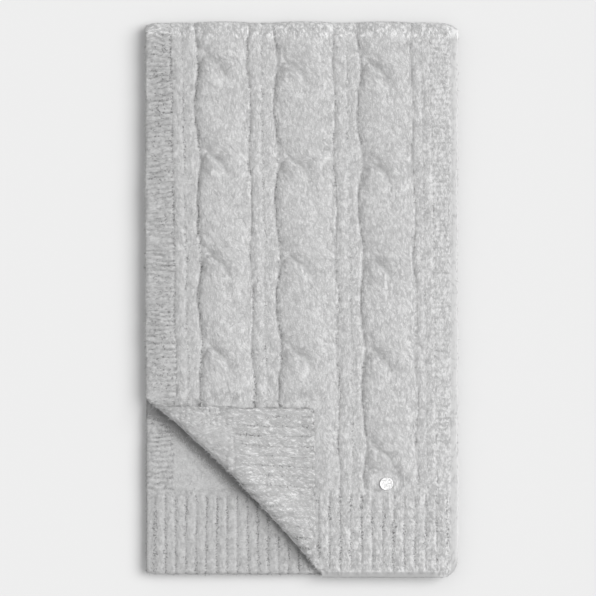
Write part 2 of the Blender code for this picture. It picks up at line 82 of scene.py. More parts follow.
COLUMN_PAIRS = (
    # left gutter, groove, right gutter
    (-124.8, -113.2, -100.0),
    (-50.0, -37.3, -24.0),
    (32.2, 45.5, 56.8),
    (107.9, 117.6, 126.2),
)
COLUMN_RISE = 1.5
COLUMN_GROOVE = 1.0
BORDER_GUTTER = 0.6
CROSSING_PITCH = 93.4
# Where the strands of each cable cross, from the hem to past the turn.
CROSSINGS = (
    (-239.4, -146.0, -54.0, 36.0, 134.5, 228.0, 321.4),
    (-240.4, -147.0, -54.5, 34.0, 130.0, 222.0, 315.4),
    (-243.4, -150.0, -58.5, 32.0, 126.0, 222.0, 315.4),
)
CABLE_FLOOR = 1.5
SLANT_STEP = 0.06
STRAND_ROUNDNESS = 0.78
STRAND = (
    # turn, left edge, right edge, rise
    (-0.060, 0.140, 0.150, 0.0),
    (-0.045, 0.090, 0.210, 2.6),
    (-0.020, 0.060, 0.280, 3.4),
    (0.000, 0.045, 0.340, 3.8),
    (0.050, 0.020, 0.450, 4.2),
    (0.100, 0.005, 0.530, 4.4),
    (0.160, 0.000, 0.620, 4.5),
    (0.260, 0.000, 0.750, 4.6),
    (0.360, 0.000, 0.840, 4.7),
    (0.470, 0.000, 0.910, 4.8),
    (0.600, 0.000, 0.970, 4.9),
    (0.720, 0.000, 1.000, 5.0),
    (0.800, 0.020, 1.000, 5.0),
    (0.870, 0.060, 1.000, 5.0),
    (0.930, 0.130, 1.000, 5.0),
    (0.970, 0.230, 1.000, 4.9),
    (1.000, 0.340, 1.000, 4.8),
    (1.050, 0.440, 1.000, 4.7),
    (1.100, 0.480, 1.000, 4.6),
    (1.160, 0.480, 1.000, 4.4),
    (1.260, 0.440, 1.000, 4.1),
    (1.360, 0.430, 1.000, 3.8),
    (1.470, 0.460, 1.000, 3.4),
    (1.600, 0.540, 1.000, 2.7),
    (1.780, 0.720, 1.000, 0.0),
)
BULGE_TURN = 0.42
BULGE_LEFT = 1.7
BULGE_RIGHT = 1.1
HEM_LINE = -188.7
CABLE_END_RUN = 14.0
RIB_RISE = 1.75
RIB_GROOVE = 1.0
FRONT_RIBS = {"last": 139.4, "pitch": 10.35, "count": 18}
CORNER_RIBS = {"last": 27.9, "pitch": 10.0, "count": 17}
SECOND_RIBS = {"last": 16.0, "pitch": 9.95, "count": 16}
SECOND_SET_BACK = 1.6
SECOND_INSET = 0.5
WINDOW_START = 9.0
WINDOW_RUN = 6.0
HEM_TAPER = (
    # distance from the hem's edge, share of the height there
    (0.0, 0.42),
    (0.3, 0.58),
    (0.8, 0.72),
    (2.6, 0.93),
    (8.2, 1.0),
)
FRONT_TAPER = (
    # distance from the hem's edge, share of the height there
    (0.0, 0.38),
    (0.3, 0.50),
    (0.8, 0.58),
    (2.0, 0.66),
    (4.0, 0.78),
    (5.5, 0.92),
    (8.2, 1.0),
)
CREASE_CENTRE = (-59.4, -177.0)
DIAGONAL = math.sqrt(0.5)
CREASE_BOW = 6.2
CREASE_BOW_RUN = 127.8
CREASE_DRAW = 0.5
CREASE_DRAW_START = 104.0
CREASE_DRAW_EASE = 6.0
ROLL_RADIUS = 6.0
ROLL_CLOTH = 28.1
FLAP_DROP = 4.3
FLAP_DROP_RUN = 30.0
FLAP_RELIEF_START = 0.25
FLAP_RELIEF_RUN = 0.35
FLAP_CORNER_RADIUS = 5.0
FLAP_REACH = (HALF + CREASE_CENTRE[0] - HEM_EDGE + CREASE_CENTRE[1]) * DIAGONAL - ROLL_CLOTH
PRESSED_RISE = 3.2
PRESS_MARGIN = 9.0
PRESS_RUN = 8.0
BADGE_CENTRE = (80.7, -179.6)
BADGE_RADIUS = 6.5
BADGE_BASE = 20.0
BADGE_THICKNESS = 1.6
BADGE_SEAT = 2.0
BADGE_SEAT_REACH = 12.0
BADGE_SEAT_RUN = 8.0
FRONT = (HEM_CORNER_RADIUS, FRONT_TURN_RADIUS, FRONT_BASE)
SECOND = (FLAP_CORNER_RADIUS, SECOND_TURN_RADIUS, SECOND_BASE)
HIDDEN_INSET = 1.5
HIDDEN_HEM = -263.5

# Finer form of the knit
EDGE_ROUND = 2.0
EDGE_HEIGHT = 1.8
LATTICE_START = 0.4
HOLLOW_DEPTH = 1.3
HOLLOW_REACH = 4
WAVER = 0.75
GARTER_PITCH = 5.35
GARTER_RISE = 1.5
STITCH_PITCH = 4.3
STITCH_RISE = 0.168
STREAK_RISE = 0.1
LUMP_RISE = 0.05
GUTTER_DEPTH = 0.5
GUTTER_WIDTH = 1.5
HEM_SAG = 3.2
SECOND_SAG = 1.8
SAG_RUN = 40.0
RIPPLE_RUN = 9.0
FRILL_RUN = 7.0
WINDOW_TOP = -70.0
SECOND_BORDER = -124.0
CORNER_BORDER = 22.0
PLAIN_RIM = 7.0
PLAIN_HEM = 5.0
ROLL_SQUARE = 0.72
ROLL_END = 92.0
ROLL_END_RUN = 32.0
SPECK_SCALE = 700.0
SPECK_CONTRAST = 0.25
RIB_CUT_DEPTH = 0.3
RIB_CUT_WIDTH = 1.3
# Painted shade lines in the grooves: pitch, width, darkness, and strength in ribs and columns
LINE_PITCH = 8.5
LINE_WIDTH = 0.2
LINE_DARKNESS = 0.8
RIB_LINE = 1.1
COLUMN_LINE = 0.75
LEFT_SPREAD = 2.5
FIBRE_CALM = 0.75
BASE_CONTRAST = 0.45
BASE_TONE = 1.27
OUTER_SHARE = 0.9

# Greys, dark and light
DEEP, PALE = 0.22, 0.64
FIBRE_DEEP, FIBRE_PALE = 0.21, 0.70
BADGE_DEEP, BADGE_PALE = 0.42, 0.74


# ---- small tools


def smooth(share):
    """Smooth step from 0 to 1."""
    share = np.clip(share, 0.0, 1.0)
    return share * share * (3.0 - 2.0 * share)


def read_table(table, at, column=1):
    """A column of a table at places in its first."""
    table = np.asarray(table)
    return np.interp(at, table[:, 0], table[:, column])


def rounded_table(table, step, reach):
    """A table read at even steps and smoothed, each place with its other columns."""
    at = np.arange(table[0][0], table[-1][0] + step, step)
    weights = np.hanning(2 * reach + 3)[1:-1]
    columns = [at]
    for column in range(1, len(table[0])):
        values = np.pad(read_table(table, at, column), reach, mode="edge")
        columns.append(np.convolve(values, weights / weights.sum(), "valid"))
    return np.stack(columns, -1)


def melt(first, second, blend):
    """The higher of two heights, rounded where they meet."""
    share = np.clip(0.5 + 0.5 * (first - second) / blend, 0.0, 1.0)
    return second + (first - second) * share + blend * share * (1.0 - share)


def noise(x, y, cell, seed):
    """Smooth noise from -1 to 1 with features about one cell across."""
    table = np.random.default_rng(seed).uniform(-1.0, 1.0, (128, 128))
    across = np.asarray(x) / cell + 41.3
    along = np.asarray(y) / cell + 53.9
    i = np.floor(across).astype(int)
    j = np.floor(along).astype(int)
    u = smooth(across - i)
    v = smooth(along - j)
    low = table[i % 128, j % 128] * (1.0 - u) + table[(i + 1) % 128, j % 128] * u
    high = table[i % 128, (j + 1) % 128] * (1.0 - u) + table[(i + 1) % 128, (j + 1) % 128] * u
    return low * (1.0 - v) + high * v


def hollows(height, reach):
    """How far places of a grid lie below those round them, as a share, for the painted shade in the grooves. Blank
    places are NaN.
    """
    known = np.isfinite(height)
    own = np.where(known, height, 0.0)
    total, weight = own, known.astype(float)
    weights = np.hanning(2 * reach + 3)[1:-1]
    for axis in (0, 1):
        total = np.apply_along_axis(np.convolve, axis, total, weights, "same")
        weight = np.apply_along_axis(np.convolve, axis, weight, weights, "same")
    return np.clip((total / np.maximum(weight, 1e-6) - own) / HOLLOW_DEPTH, 0.0, 1.0)


# ---- places in the folded scarf


def crease_bow(along):
    """How far the crease bows inwards."""
    return CREASE_BOW * np.maximum(0.0, 1.0 - (along / CREASE_BOW_RUN) ** 2)


def end_draw(along):
    """How far the crease's ends are drawn along the scarf's edges."""
    beyond = np.abs(along) - CREASE_DRAW_START
    return CREASE_DRAW * (np.hypot(beyond, CREASE_DRAW_EASE) + beyond) / 2.0


def crease_place(x, y):
    """How far a point of the plan lies past the crease, and where along it."""
    dx = x - CREASE_CENTRE[0]
    dy = y - CREASE_CENTRE[1]
    plain = (dx - dy) * DIAGONAL
    along = plain
    for _ in range(12):
        along = plain + np.copysign(DIAGONAL * end_draw(along), plain)
    return crease_bow(along) - (dx + dy + end_draw(along)) * DIAGONAL, along


def crease_x(y):
    """The x at which a row of the cloth meets the crease."""
    low = np.full_like(y, -1.5 * WIDTH)
    high = np.full_like(y, HALF)
    for _ in range(40):
        middle = (low + high) / 2.0
        past, _ = crease_place(middle, y)
        low = np.where(past > 0.0, middle, low)
        high = np.where(past > 0.0, high, middle)
    return high


def hem_lift(x, radius_left, radius_right):
    """How far a hem's rounded corners raise its edge."""
    lift = 0.0
    for inset, radius in ((x + HALF, radius_left), (HALF - x, radius_right)):
        reach = np.clip(radius - inset, 0.0, radius)
        lift = lift + radius - np.sqrt(radius * radius - reach * reach)
    return lift


def top_drop(x):
    """How far the top edge falls away at its corners."""
    right = np.maximum(0.0, x - HALF + TOP_RIGHT_RUN) / TOP_RIGHT_RUN
    left = np.maximum(0.0, -x - HALF + TOP_LEFT_RUN) / TOP_LEFT_RUN
    return TOP_RIGHT_DEPTH * right * right + TOP_LEFT_DEPTH * left * left


def settle(x, y, radius_left, radius_right):
    """The y of a row of the cloth once the corners are rounded."""
    near_hem = np.maximum(0.0, 1.0 - (y - HEM_EDGE) / CORNER_REACH)
    near_top = np.maximum(0.0, 1.0 - (TURN_LINE - y) / CORNER_REACH)
    return y + hem_lift(x, radius_left, radius_right) * near_hem - top_drop(x) * near_top


def fold_over(x, y, angle, stretch, height, fall, frill):
    """Places of a stretch that lies flat, with its hem and sides uneven, and then turns over the top edge."""
    corner_radius, turn_radius, base = stretch
    reach = turn_radius + height
    turned = angle > 0.0
    flat_y = settle(x, y, corner_radius, HEM_CORNER_RADIUS) - fall
    turned_y = TURN_LINE - top_drop(x) + reach * np.sin(angle)
    turned_z = TURN_HEIGHT + reach * np.cos(angle)
    placed_x = x + frill * np.sign(x)
    return np.stack([placed_x, np.where(turned, turned_y, flat_y), np.where(turned, turned_z, base + height)], -1)


def hem_fall(y, run):
    """Share of a hem's fall or ripple at a place, which fades over a run above the hem's edge."""
    return smooth(1.0 - (y - HEM_EDGE) / run)


def side_share(inset):
    """Share of a side's frill at an inset from it."""
    return smooth(1.0 - inset / FRILL_RUN)


# ---- relief of the knit


SMOOTH_STRAND = rounded_table(STRAND, 0.01, 3)


def crossing_turn(cloth, cable):
    """How many crossings of a cable lie above a place of the cloth."""
    places = np.array(CROSSINGS[cable])
    return np.interp(-cloth, -places[::-1], np.arange(float(len(places))))


def cable_relief(share, cloth, wide, cable):
    """Rise of a cable over the wall, its finer form, and how far its yarn slants, at shares of its width."""
    turn = crossing_turn(cloth, cable) % 1.0
    floor = smooth(share / 0.09) * smooth((1.0 - share) / 0.09)
    best = CABLE_FLOOR * floor
    fine = np.zeros_like(best)
    slant = np.zeros_like(best)
    blend = 0.25 + 3.4 * smooth((turn - 0.06) / 0.22) * smooth((0.9 - turn) / 0.1)
    for passed in (-1.0, 0.0, 1.0, 2.0):
        at = turn + passed
        left, right, rise = (read_table(SMOOTH_STRAND, at, column) for column in (1, 2, 3))
        ahead = sum(read_table(SMOOTH_STRAND, at + SLANT_STEP, column) for column in (1, 2))
        ahead = ahead - left - right
        spread = np.maximum(right - left, 0.001)
        place = np.clip((share - left) / spread, 0.0, 1.0)
        inside = (spread > 0.02) & (at > STRAND[0][0]) & (at < STRAND[-1][0])
        strand = np.where(inside, rise * (4.0 * place * (1.0 - place)) ** STRAND_ROUNDNESS, 0.0)
        along = at * CROSSING_PITCH
        streak = noise(place * 8.0 + 31.0 * passed, along / 7.0, 1.0, 71)
        streak = streak + 0.5 * noise(place * 13.0 + 17.0 * passed, along / 4.0, 1.0, 73)
        on_top = strand > best - 0.3
        fine = np.where(on_top, streak * smooth(4.0 * place * (1.0 - place)), fine)
        slant = np.where(on_top, 0.5 * ahead * wide / (SLANT_STEP * CROSSING_PITCH), slant)
        best = np.where(inside, melt(best, strand, blend), best)
    return best, fine, slant


def column_relief(place, x, y, odd):
    """Rise share of one knit column and its stitches, from 0 to 1 across it."""
    bump = np.sin(math.pi * np.clip(place, 0.0, 1.0))
    leg = np.abs(place - 0.5)
    phase = y / STITCH_PITCH + leg * 1.2 + 0.5 * odd + 0.5 * noise(x, y, 9.0, 81)
    stitch = np.sin(2.0 * math.pi * phase) * (0.55 + 0.6 * noise(x, y, 11.0, 83))
    return bump, stitch * bump


def garter(x, y, seed):
    """Uneven cross ridges of a garter-stitch border, about -1 to 1."""
    phase = y / GARTER_PITCH + 0.6 * noise(0.5 * x, y, 12.0, seed) + 0.2 * noise(x, y, 5.0, seed + 1)
    ridge = 1.4 * np.abs(np.sin(math.pi * phase)) ** 0.6 - 1.0
    strength = 0.7 + 0.6 * noise(0.8 * x, y, 10.0, seed + 2)
    purl = np.cos(2.0 * math.pi * (x / 5.6 + 0.5 * np.floor(phase) + 0.3 * noise(x, y, 16.0, seed + 3)))
    return ridge * strength + 0.1 * purl + 0.5 * noise(x, y, 9.0, seed + 4)


def lumps(x, y, seed):
    """Unevenness of brushed yarn, about -1 to 1."""
    return (
        0.5 * noise(x, y, 8.0, seed)
        + 0.6 * noise(x, y * 0.8, 4.2, seed + 1)
        + 0.5 * noise(x * 1.2, y, 2.9, seed + 2)
    )


def rib_place(x, y, ribs):
    """Places across a ribbed hem, whole numbers at its grooves."""
    start = ribs["last"] - ribs["count"] * ribs["pitch"]
    return (x - start) / ribs["pitch"] + 0.06 * noise(x, y, 24.0, 5) + 0.035 * noise(x, y, 8.0, 6)


def rib_relief(x, y, ribs):
    """Rise of a ribbed hem and its stitches."""
    place = rib_place(x, y, ribs)
    inside = smooth((place + 0.25) / 0.25) * smooth((ribs["count"] + 0.25 - place) / 0.25)
    share = place - np.floor(place)
    crest = np.sin(math.pi * share) ** 0.85
    leg = np.abs(share - 0.5)
    away = np.minimum(share, 1.0 - share) * ribs["pitch"]
    uneven = np.maximum(0.1, 0.7 + 0.6 * noise(x, y, 7.0, 7) + 0.4 * noise(x, y, 3.0, 8))
    cut = RIB_CUT_DEPTH * np.exp(-((away / RIB_CUT_WIDTH) ** 2)) * uneven
    stitch = (0.6 + 0.5 * noise(x, y, 10.0, 9)) * np.sin(2.0 * math.pi * (y / STITCH_PITCH + 1.1 * leg)) * crest
    return (RIB_GROOVE + (RIB_RISE - RIB_GROOVE) * crest - cut) * inside, stitch * inside


def swing(pattern, cloth):
    """How far the cables' edges swing: out at the middle of a strand, and in where two cross."""
    turn = crossing_turn(cloth, 1) - BULGE_TURN
    marks = []
    for pair, (left, groove, right) in enumerate(COLUMN_PAIRS):
        out = BULGE_LEFT if pair < len(COLUMN_PAIRS) - 1 else 0.0
        marks += [(left, -BULGE_RIGHT if pair else 0.0), (groove, 0.0), (right, out)]
    return np.cos(2.0 * math.pi * turn) * read_table(marks, pattern) * smooth((cloth - HEM_LINE) / 30.0)


def body_pattern(x, cloth):
    """Where places of the front stretch lie in its pattern, which leans, wavers and swings a little."""
    pattern = x
    for _ in range(3):
        pattern = x - LEAN * (LEAN_CENTRE - cloth) * smooth((HALF - np.abs(pattern)) / 24.0)
    waver = noise(x, cloth, 16.0, 75) + 0.6 * noise(x, cloth, 7.0, 77)
    pattern = pattern + WAVER * waver * smooth((HALF - np.abs(x)) / 20.0)
    return pattern + swing(pattern, cloth)


def column_place(pattern):
    """Whole numbers at the gutters and grooves of the knit columns, level where there are none."""
    lines = np.array(COLUMN_PAIRS).ravel()
    nearest = np.abs(pattern[..., None] - lines).argmin(-1)
    return nearest + np.clip((pattern - lines[nearest]) / LINE_PITCH, -0.5, 0.5)


def window(past):
    """Share of the second stretch's relief that shows, past the crease."""
    return smooth((past - WINDOW_START) / WINDOW_RUN)


def over_hem(y):
    """Share of the body's relief: 0 in a hem and 1 above it."""
    return smooth((y - HEM_LINE + 3.4) / 6.8)


def calmer(x):
    """Share by which the knit is calmer towards the scarf's right side."""
    return smooth((x + 90.0) / 200.0)


def patches(x, y, seed):
    """Uneven strength of the painted shade lines in the grooves."""
    return np.clip(0.6 + 0.7 * noise(x, y, 14.0, seed) + 0.4 * noise(x, y, 6.0, seed + 2), 0.05, 1.3)


def curls(x, y, seed):
    """Uneven strength of the painted shade in the curls of a border."""
    return np.clip(0.7 + 0.6 * noise(x, y, 12.0, seed), 0.0, 1.2)


def off_hem_line(y):
    """0 where a hem meets the body, and 1 away from there."""
    return smooth((np.abs(y - HEM_LINE) - 1.5) / 2.5)


def front_lines(x, y, cloth, hem):
    """Places across the front stretch's grooves, how dark their painted shade lines are, and how dark the painted
    shade in its borders' curls is.
    """
    pattern = body_pattern(x, cloth)
    place = np.where(hem, rib_place(x, y, FRONT_RIBS), column_place(pattern))
    rim = smooth((y - HEM_EDGE - PLAIN_HEM) / 3.0) * smooth((HALF - PLAIN_RIM + 1.0 - x) / 2.0)
    inset = HALF - np.abs(x)
    left = smooth((COLUMN_PAIRS[0][0] - 1.0 - pattern) / 2.0) * smooth((inset - 1.0) / 2.0)
    right = 0.12 * smooth((pattern - COLUMN_PAIRS[-1][2] - 1.0) / 2.0) * smooth((inset - PLAIN_RIM) / 2.0)
    strength = np.where(hem, RIB_LINE, COLUMN_LINE * (1.1 - 0.5 * calmer(x))) * patches(x, cloth, 101)
    curl = np.where(hem, 0.0, 0.95 * left + right) * curls(x, cloth, 105)
    away = off_hem_line(y)
    return np.stack([place, strength * away * rim, curl * away], -1)


def second_lines(x, y, hem):
    """The same for the second stretch."""
    strength = np.where(hem, 1.1 * RIB_LINE * patches(x, y, 111), 0.0) * window(crease_place(x, y)[0])
    curl = np.where(hem, 0.0, 0.6 * smooth((SECOND_BORDER - x) / 3.0) * curls(x, y, 115))
    away = off_hem_line(y)
    return np.stack([rib_place(x, y, SECOND_RIBS), strength * away, curl * away], -1)


def corner_lines(x, y, hem):
    """The same for the turned corner, at places of its cloth laid flat."""
    inside = smooth(np.minimum(y - HEM_EDGE - 1.0, x + HALF - 2.0) / 7.0)
    strength = np.where(hem, 0.8 * RIB_LINE * patches(x, y, 121), 0.0) * inside
    curl = np.where(hem, 0.0, 0.4 * smooth((CORNER_BORDER - x - HALF) / 4.0))
    away = off_hem_line(y)
    return np.stack([rib_place(x, y, CORNER_RIBS), strength * away, curl * away], -1)


def body_relief(x, cloth):
    """Rise of the front stretch over its wall, its finer form and its yarn's slant, above the hem."""
    pattern = body_pattern(x, cloth)
    inset = HALF - np.abs(x)
    rise = read_table(BORDER, inset) - WALL
    slant = np.zeros_like(rise)
    ridges = garter(x, cloth, 11)
    fine = np.where(pattern < COLUMN_PAIRS[0][0], GARTER_RISE * ridges * smooth(inset / 2.5), 0.0)
    faint = 0.17 * GARTER_RISE * ridges * smooth((inset - PLAIN_RIM) / 3.0)
    fine = np.where(pattern > COLUMN_PAIRS[-1][2], faint, fine)
    ease = calmer(x)
    last = len(COLUMN_PAIRS) - 1
    for pair, (left, groove, right) in enumerate(COLUMN_PAIRS):
        low = BORDER_GUTTER if pair == 0 else 0.0
        high = BORDER_GUTTER if pair == last else 0.0
        sides = ((left, groove, low, COLUMN_GROOVE), (groove, right, COLUMN_GROOVE, high))
        for odd, (start, end, from_rise, to_rise) in enumerate(sides):
            place = (pattern - start) / (end - start)
            inside = (place >= 0.0) & (place < 1.0)
            bump, stitch = column_relief(place, x, cloth, odd)
            base = from_rise + (to_rise - from_rise) * place
            base = base + (COLUMN_RISE - base) * (0.25 + 0.2 * noise(x, cloth, 26.0, 107)) * ease
            rise = np.where(inside, base + (COLUMN_RISE - base) * bump, rise)
            fine = np.where(inside, 0.6 * STITCH_RISE * stitch, fine)
        if pair < last:
            wide = COLUMN_PAIRS[pair + 1][0] - right
            share = (pattern - right) / wide
            inside = (share >= 0.0) & (share < 1.0)
            cable, streak, turned = cable_relief(share, cloth, wide, pair)
            grown = 0.3 + 0.7 * smooth((cloth - HEM_LINE) / CABLE_END_RUN)
            rise = np.where(inside, cable * grown, rise)
            fine = np.where(inside, STREAK_RISE * streak, fine)
            slant = np.where(inside, turned, slant)
        for line, depth in ((left, 1.0), (groove, 0.5), (right, 1.0)):
            pits = np.maximum(0.0, noise(x, cloth, 2.7, 95 + pair) - 0.1)
            uneven = depth * np.maximum(0.0, 0.4 + 0.7 * noise(x, cloth, 9.0, 91 + pair) + 2.2 * pits)
            deep = GUTTER_DEPTH * (1.1 - 0.5 * ease) * uneven
            rise = rise - deep * np.exp(-(((pattern - line) / GUTTER_WIDTH) ** 2))
    return rise, fine, slant


def from_badge(x, y):
    """How far places lie from the badge's centre."""
    return np.hypot(x - BADGE_CENTRE[0], y - BADGE_CENTRE[1])


def press(x, y, rise):
    """Relief of the front stretch, pressed where the turned corner or the badge bears on it."""
    past, along = crease_place(x, y)
    inside = (FLAP_REACH - np.abs(along) + past) * DIAGONAL
    pressed = np.maximum(rise - PRESSED_RISE, 0.0) * smooth((inside + PRESS_MARGIN) / PRESS_RUN)
    rise = rise - pressed
    near = 2.0 * ROLL_RADIUS
    rise = np.where(past > -near, np.minimum(rise, PRESSED_RISE * smooth(-past / near)), rise)
    free = smooth((from_badge(x, y) - BADGE_SEAT_REACH) / BADGE_SEAT_RUN)
    return np.where(rise > BADGE_SEAT, BADGE_SEAT + (rise - BADGE_SEAT) * free, rise)


def plain_rim(x, y, angle):
    """Share by which the front stretch's rim is plain: its right and lower edges, and its turn at the top."""
    right = smooth((x - HALF + PLAIN_RIM + 1.0) / 2.5)
    low = smooth((HEM_EDGE + PLAIN_HEM + 1.0 - y) / 2.0) * smooth((HALF - 12.0 - x) / 14.0)
    return np.maximum(np.maximum(right, low), smooth((angle - 0.35) / 0.9))


def front_height(x, y, cloth, angle):
    """Height of the front stretch's outer side over its underside."""
    body, body_fine, _ = body_relief(x, cloth)
    ribs, rib_fine = rib_relief(x, y, FRONT_RIBS)
    ribs = ribs * smooth((HALF - np.abs(x)) / 8.0) + np.minimum(0.0, read_table(BORDER, HALF - np.abs(x)) - WALL)
    above = over_hem(y)
    rise = ribs + (body - ribs) * above
    fine = STITCH_RISE * rib_fine * (1.0 - above) + body_fine * above
    shown = np.maximum(0.0, 1.0 - angle / (0.8 * math.pi)) ** 1.3
    rise = np.where(rise > 0.0, press(x, y, rise) * shown, rise * np.clip(2.0 - 2.0 * angle / math.pi, 0.0, 1.0))
    fine = (fine + LUMP_RISE * lumps(x, cloth, 21)) * (0.25 + 0.75 * smooth((from_badge(x, y) - 8.0) / 8.0))
    past, _ = crease_place(x, y)
    fine = fine * smooth((-past - 2.0) / 14.0)
    taper = read_table(FRONT_TAPER, y - HEM_EDGE)
    rise = rise + (RIB_RISE - 0.3 - rise) * smooth((HEM_EDGE + PLAIN_HEM + 1.5 - y) / 3.0) * (rise > 0.0)
    return (WALL + rise) * taper + fine * (1.0 - plain_rim(x, y, angle)) * smooth((HALF + x) / 2.5)


def underside(inset):
    """How far the rounded edge of a wall lifts its underside."""
    reach = 1.0 - np.clip(inset, 0.0, EDGE_ROUND) / EDGE_ROUND
    return EDGE_HEIGHT * (1.0 - np.sqrt(np.maximum(0.0, 1.0 - reach * reach)))


# ---- meshes


def spaced(start, end, step, fine_start=False, fine_end=False):
    """Places from start to end about a step apart, with extra ones near chosen ends."""
    places = np.linspace(start, end, max(2, int(round((end - start) / step))) + 1)
    more = [start + inset for inset in (0.3, 0.8) if fine_start]
    more += [end - inset for inset in (0.3, 0.8) if fine_end]
    return np.unique(np.concatenate([places, more]))


def ring_faces(rows, columns):
    """Quads of a tube whose rows of vertices close on themselves."""
    at = np.arange(rows * columns).reshape(rows, columns)
    after = np.roll(at, -1, axis=1)
    return np.stack([at[:-1], after[:-1], after[1:], at[1:]], -1).reshape(-1, 4)


def ring_map(across, along):
    """UV corners of the quads that ring_faces gives. Across has one more value, where the ring closes."""
    u = np.stack([across[:-1], across[1:], across[1:], across[:-1]], -1)
    v = np.stack([along[:-1], along[:-1], along[1:], along[1:]], -1)
    u = np.broadcast_to(u[None], (len(along) - 1, *u.shape))
    v = np.broadcast_to(v[:, None], u.shape)
    return np.stack([u, v], -1).reshape(-1, 2)


def laid_out(rows, bends, radius):
    """A stretch's rows, flat and then round its turn: their y, their angle, and how far along the cloth they are."""
    turn = np.linspace(0.0, math.pi, bends)[1:]
    angle = np.concatenate([np.zeros(len(rows)), turn])[:, None]
    row = np.concatenate([rows, np.full(len(turn), TURN_LINE)])[:, None]
    return row, angle, row + angle * (radius + WALL / 2.0)


def strip_faces(points, outer, inner, turned):
    """Triangles that close the end of a tube between its outer and inner vertices."""
    faces = []
    here, there = 0, 0
    while here < len(outer) - 1 or there < len(inner) - 1:
        ahead = points[outer[here + 1], 0] if here < len(outer) - 1 else math.inf
        ahead_inner = points[inner[there + 1], 0] if there < len(inner) - 1 else math.inf
        if ahead <= ahead_inner:
            here += 1
            face = (inner[there], outer[here], outer[here - 1])
        else:
            there += 1
            face = (inner[there - 1], inner[there], outer[here])
        faces.append(face[::-1] if turned else face)
    return faces


def make_mesh(name, points, faces, corners, **shades):
    """A smooth mesh object from points in millimetres, with the map its surface is laid out on."""
    mesh = bpy.data.meshes.new(name)
    mesh.from_pydata((np.asarray(points) * MM).tolist(), [], faces)
    mesh.update()
    mesh.uv_layers.new(name="OFBake").uv.foreach_set("vector", flat_row(corners))
    for shade in ("looks", "lines"):
        add_shade(mesh, shade, shades.get(shade, np.zeros((len(points), 3))))
    mesh.shade_smooth()
    return put(name, mesh)


def flat_row(values, kind=np.float32):
    """Values in one row, as Blender takes them."""
    return np.asarray(values, kind).ravel()


def read_all(items, key, wide, kind=np.float32):
    """One property of each of a mesh's items."""
    values = np.empty(len(items) * wide, kind)
    items.foreach_get(key, values)
    return values.reshape(-1, wide)


def put(name, data):
    """An object in the scene."""
    made = bpy.data.objects.new(name, data)
    bpy.context.scene.collection.objects.link(made)
    return made


def add_shade(mesh, name, values):
    """Writes up to three numbers a vertex, for a material to read."""
    rgba = np.zeros((len(values), 4), np.float32)
    rgba[:, : values.shape[1]] = values
    rgba[:, 3] = 1.0
    mesh.color_attributes.new(name, "FLOAT_COLOR", "POINT").data.foreach_set("color", rgba.ravel())


def painted_light(x, y):
    """How much paler the brushed surface is painted at a place, in the measure of the hollows: painted light on its
    right and top edges and towards its right, painted shade on its left border.
    """
    top = smooth((y - TURN_LINE + 9.0) / 10.0) * smooth((HALF - 5.0 - x) / 6.0)
    edge = 0.1 * smooth(1.0 - (HALF - x) / 9.0) + 0.6 * smooth(1.0 - (HALF - x) / 1.6) + 0.95 * top
    left = 0.16 * smooth((x + 88.0) / -20.0) + 0.24 * smooth((x + 122.0) / -6.0)
    return 0.18 + 0.06 * x / HALF + edge - left


def make_tube(name, outer, inner, along, looks, lines):
    """A closed wall from a grid of outer points and one of inner points, both rows by columns by 3."""
    ring = np.concatenate([outer, inner[:, ::-1]], axis=1)
    rows, columns, _ = ring.shape
    points = ring.reshape(-1, 3)
    wide = outer.shape[1]
    back = OUTER_SHARE + 0.01 + (0.98 - OUTER_SHARE) * np.linspace(0.0, 1.0, columns - wide + 1)
    across = np.concatenate([OUTER_SHARE * np.linspace(0.0, 1.0, wide), back])
    corners = ring_map(across, 0.01 + 0.98 * (along - along[0]) / (along[-1] - along[0]))
    faces = ring_faces(rows, columns).tolist()
    for row, turned, v in ((0, False, 0.0), (rows - 1, True, 0.995)):
        first = row * columns
        outer_at = list(range(first, first + wide))
        inner_at = list(range(first + columns - 1, first + wide - 1, -1))
        strip = strip_faces(points, outer_at, inner_at, turned)
        faces += strip
        place = {}
        for side, level in ((outer_at, v), (inner_at, v + 0.005)):
            place |= {at: (OUTER_SHARE * step / (len(side) - 1), level) for step, at in enumerate(side)}
        corners = np.concatenate([corners, [place[at] for face in strip for at in face]])
    unseen = np.zeros((rows, columns - wide, 3))
    looks = np.concatenate([looks, unseen[..., :2]], 1).reshape(-1, 2)
    lines = np.concatenate([lines, unseen], 1).reshape(-1, 3)
    return make_mesh(name, points, faces, corners, looks=looks, lines=lines)


def inner_places(start, end):
    """The few x of a wall's underside, close together at its two edges."""
    insets = np.array([0.0, 0.3, 0.9, EDGE_ROUND, 6.0, 16.0])
    middle = np.linspace(0.0, 1.0, 5)[1:-1]
    insets = insets[None] * np.minimum(1.0, (end - start)[:, None] / 40.0)
    left = start[:, None] + insets
    right = end[:, None] - insets[:, ::-1]
    return np.concatenate([left, start[:, None] + (end - start)[:, None] * middle[None], right], 1)


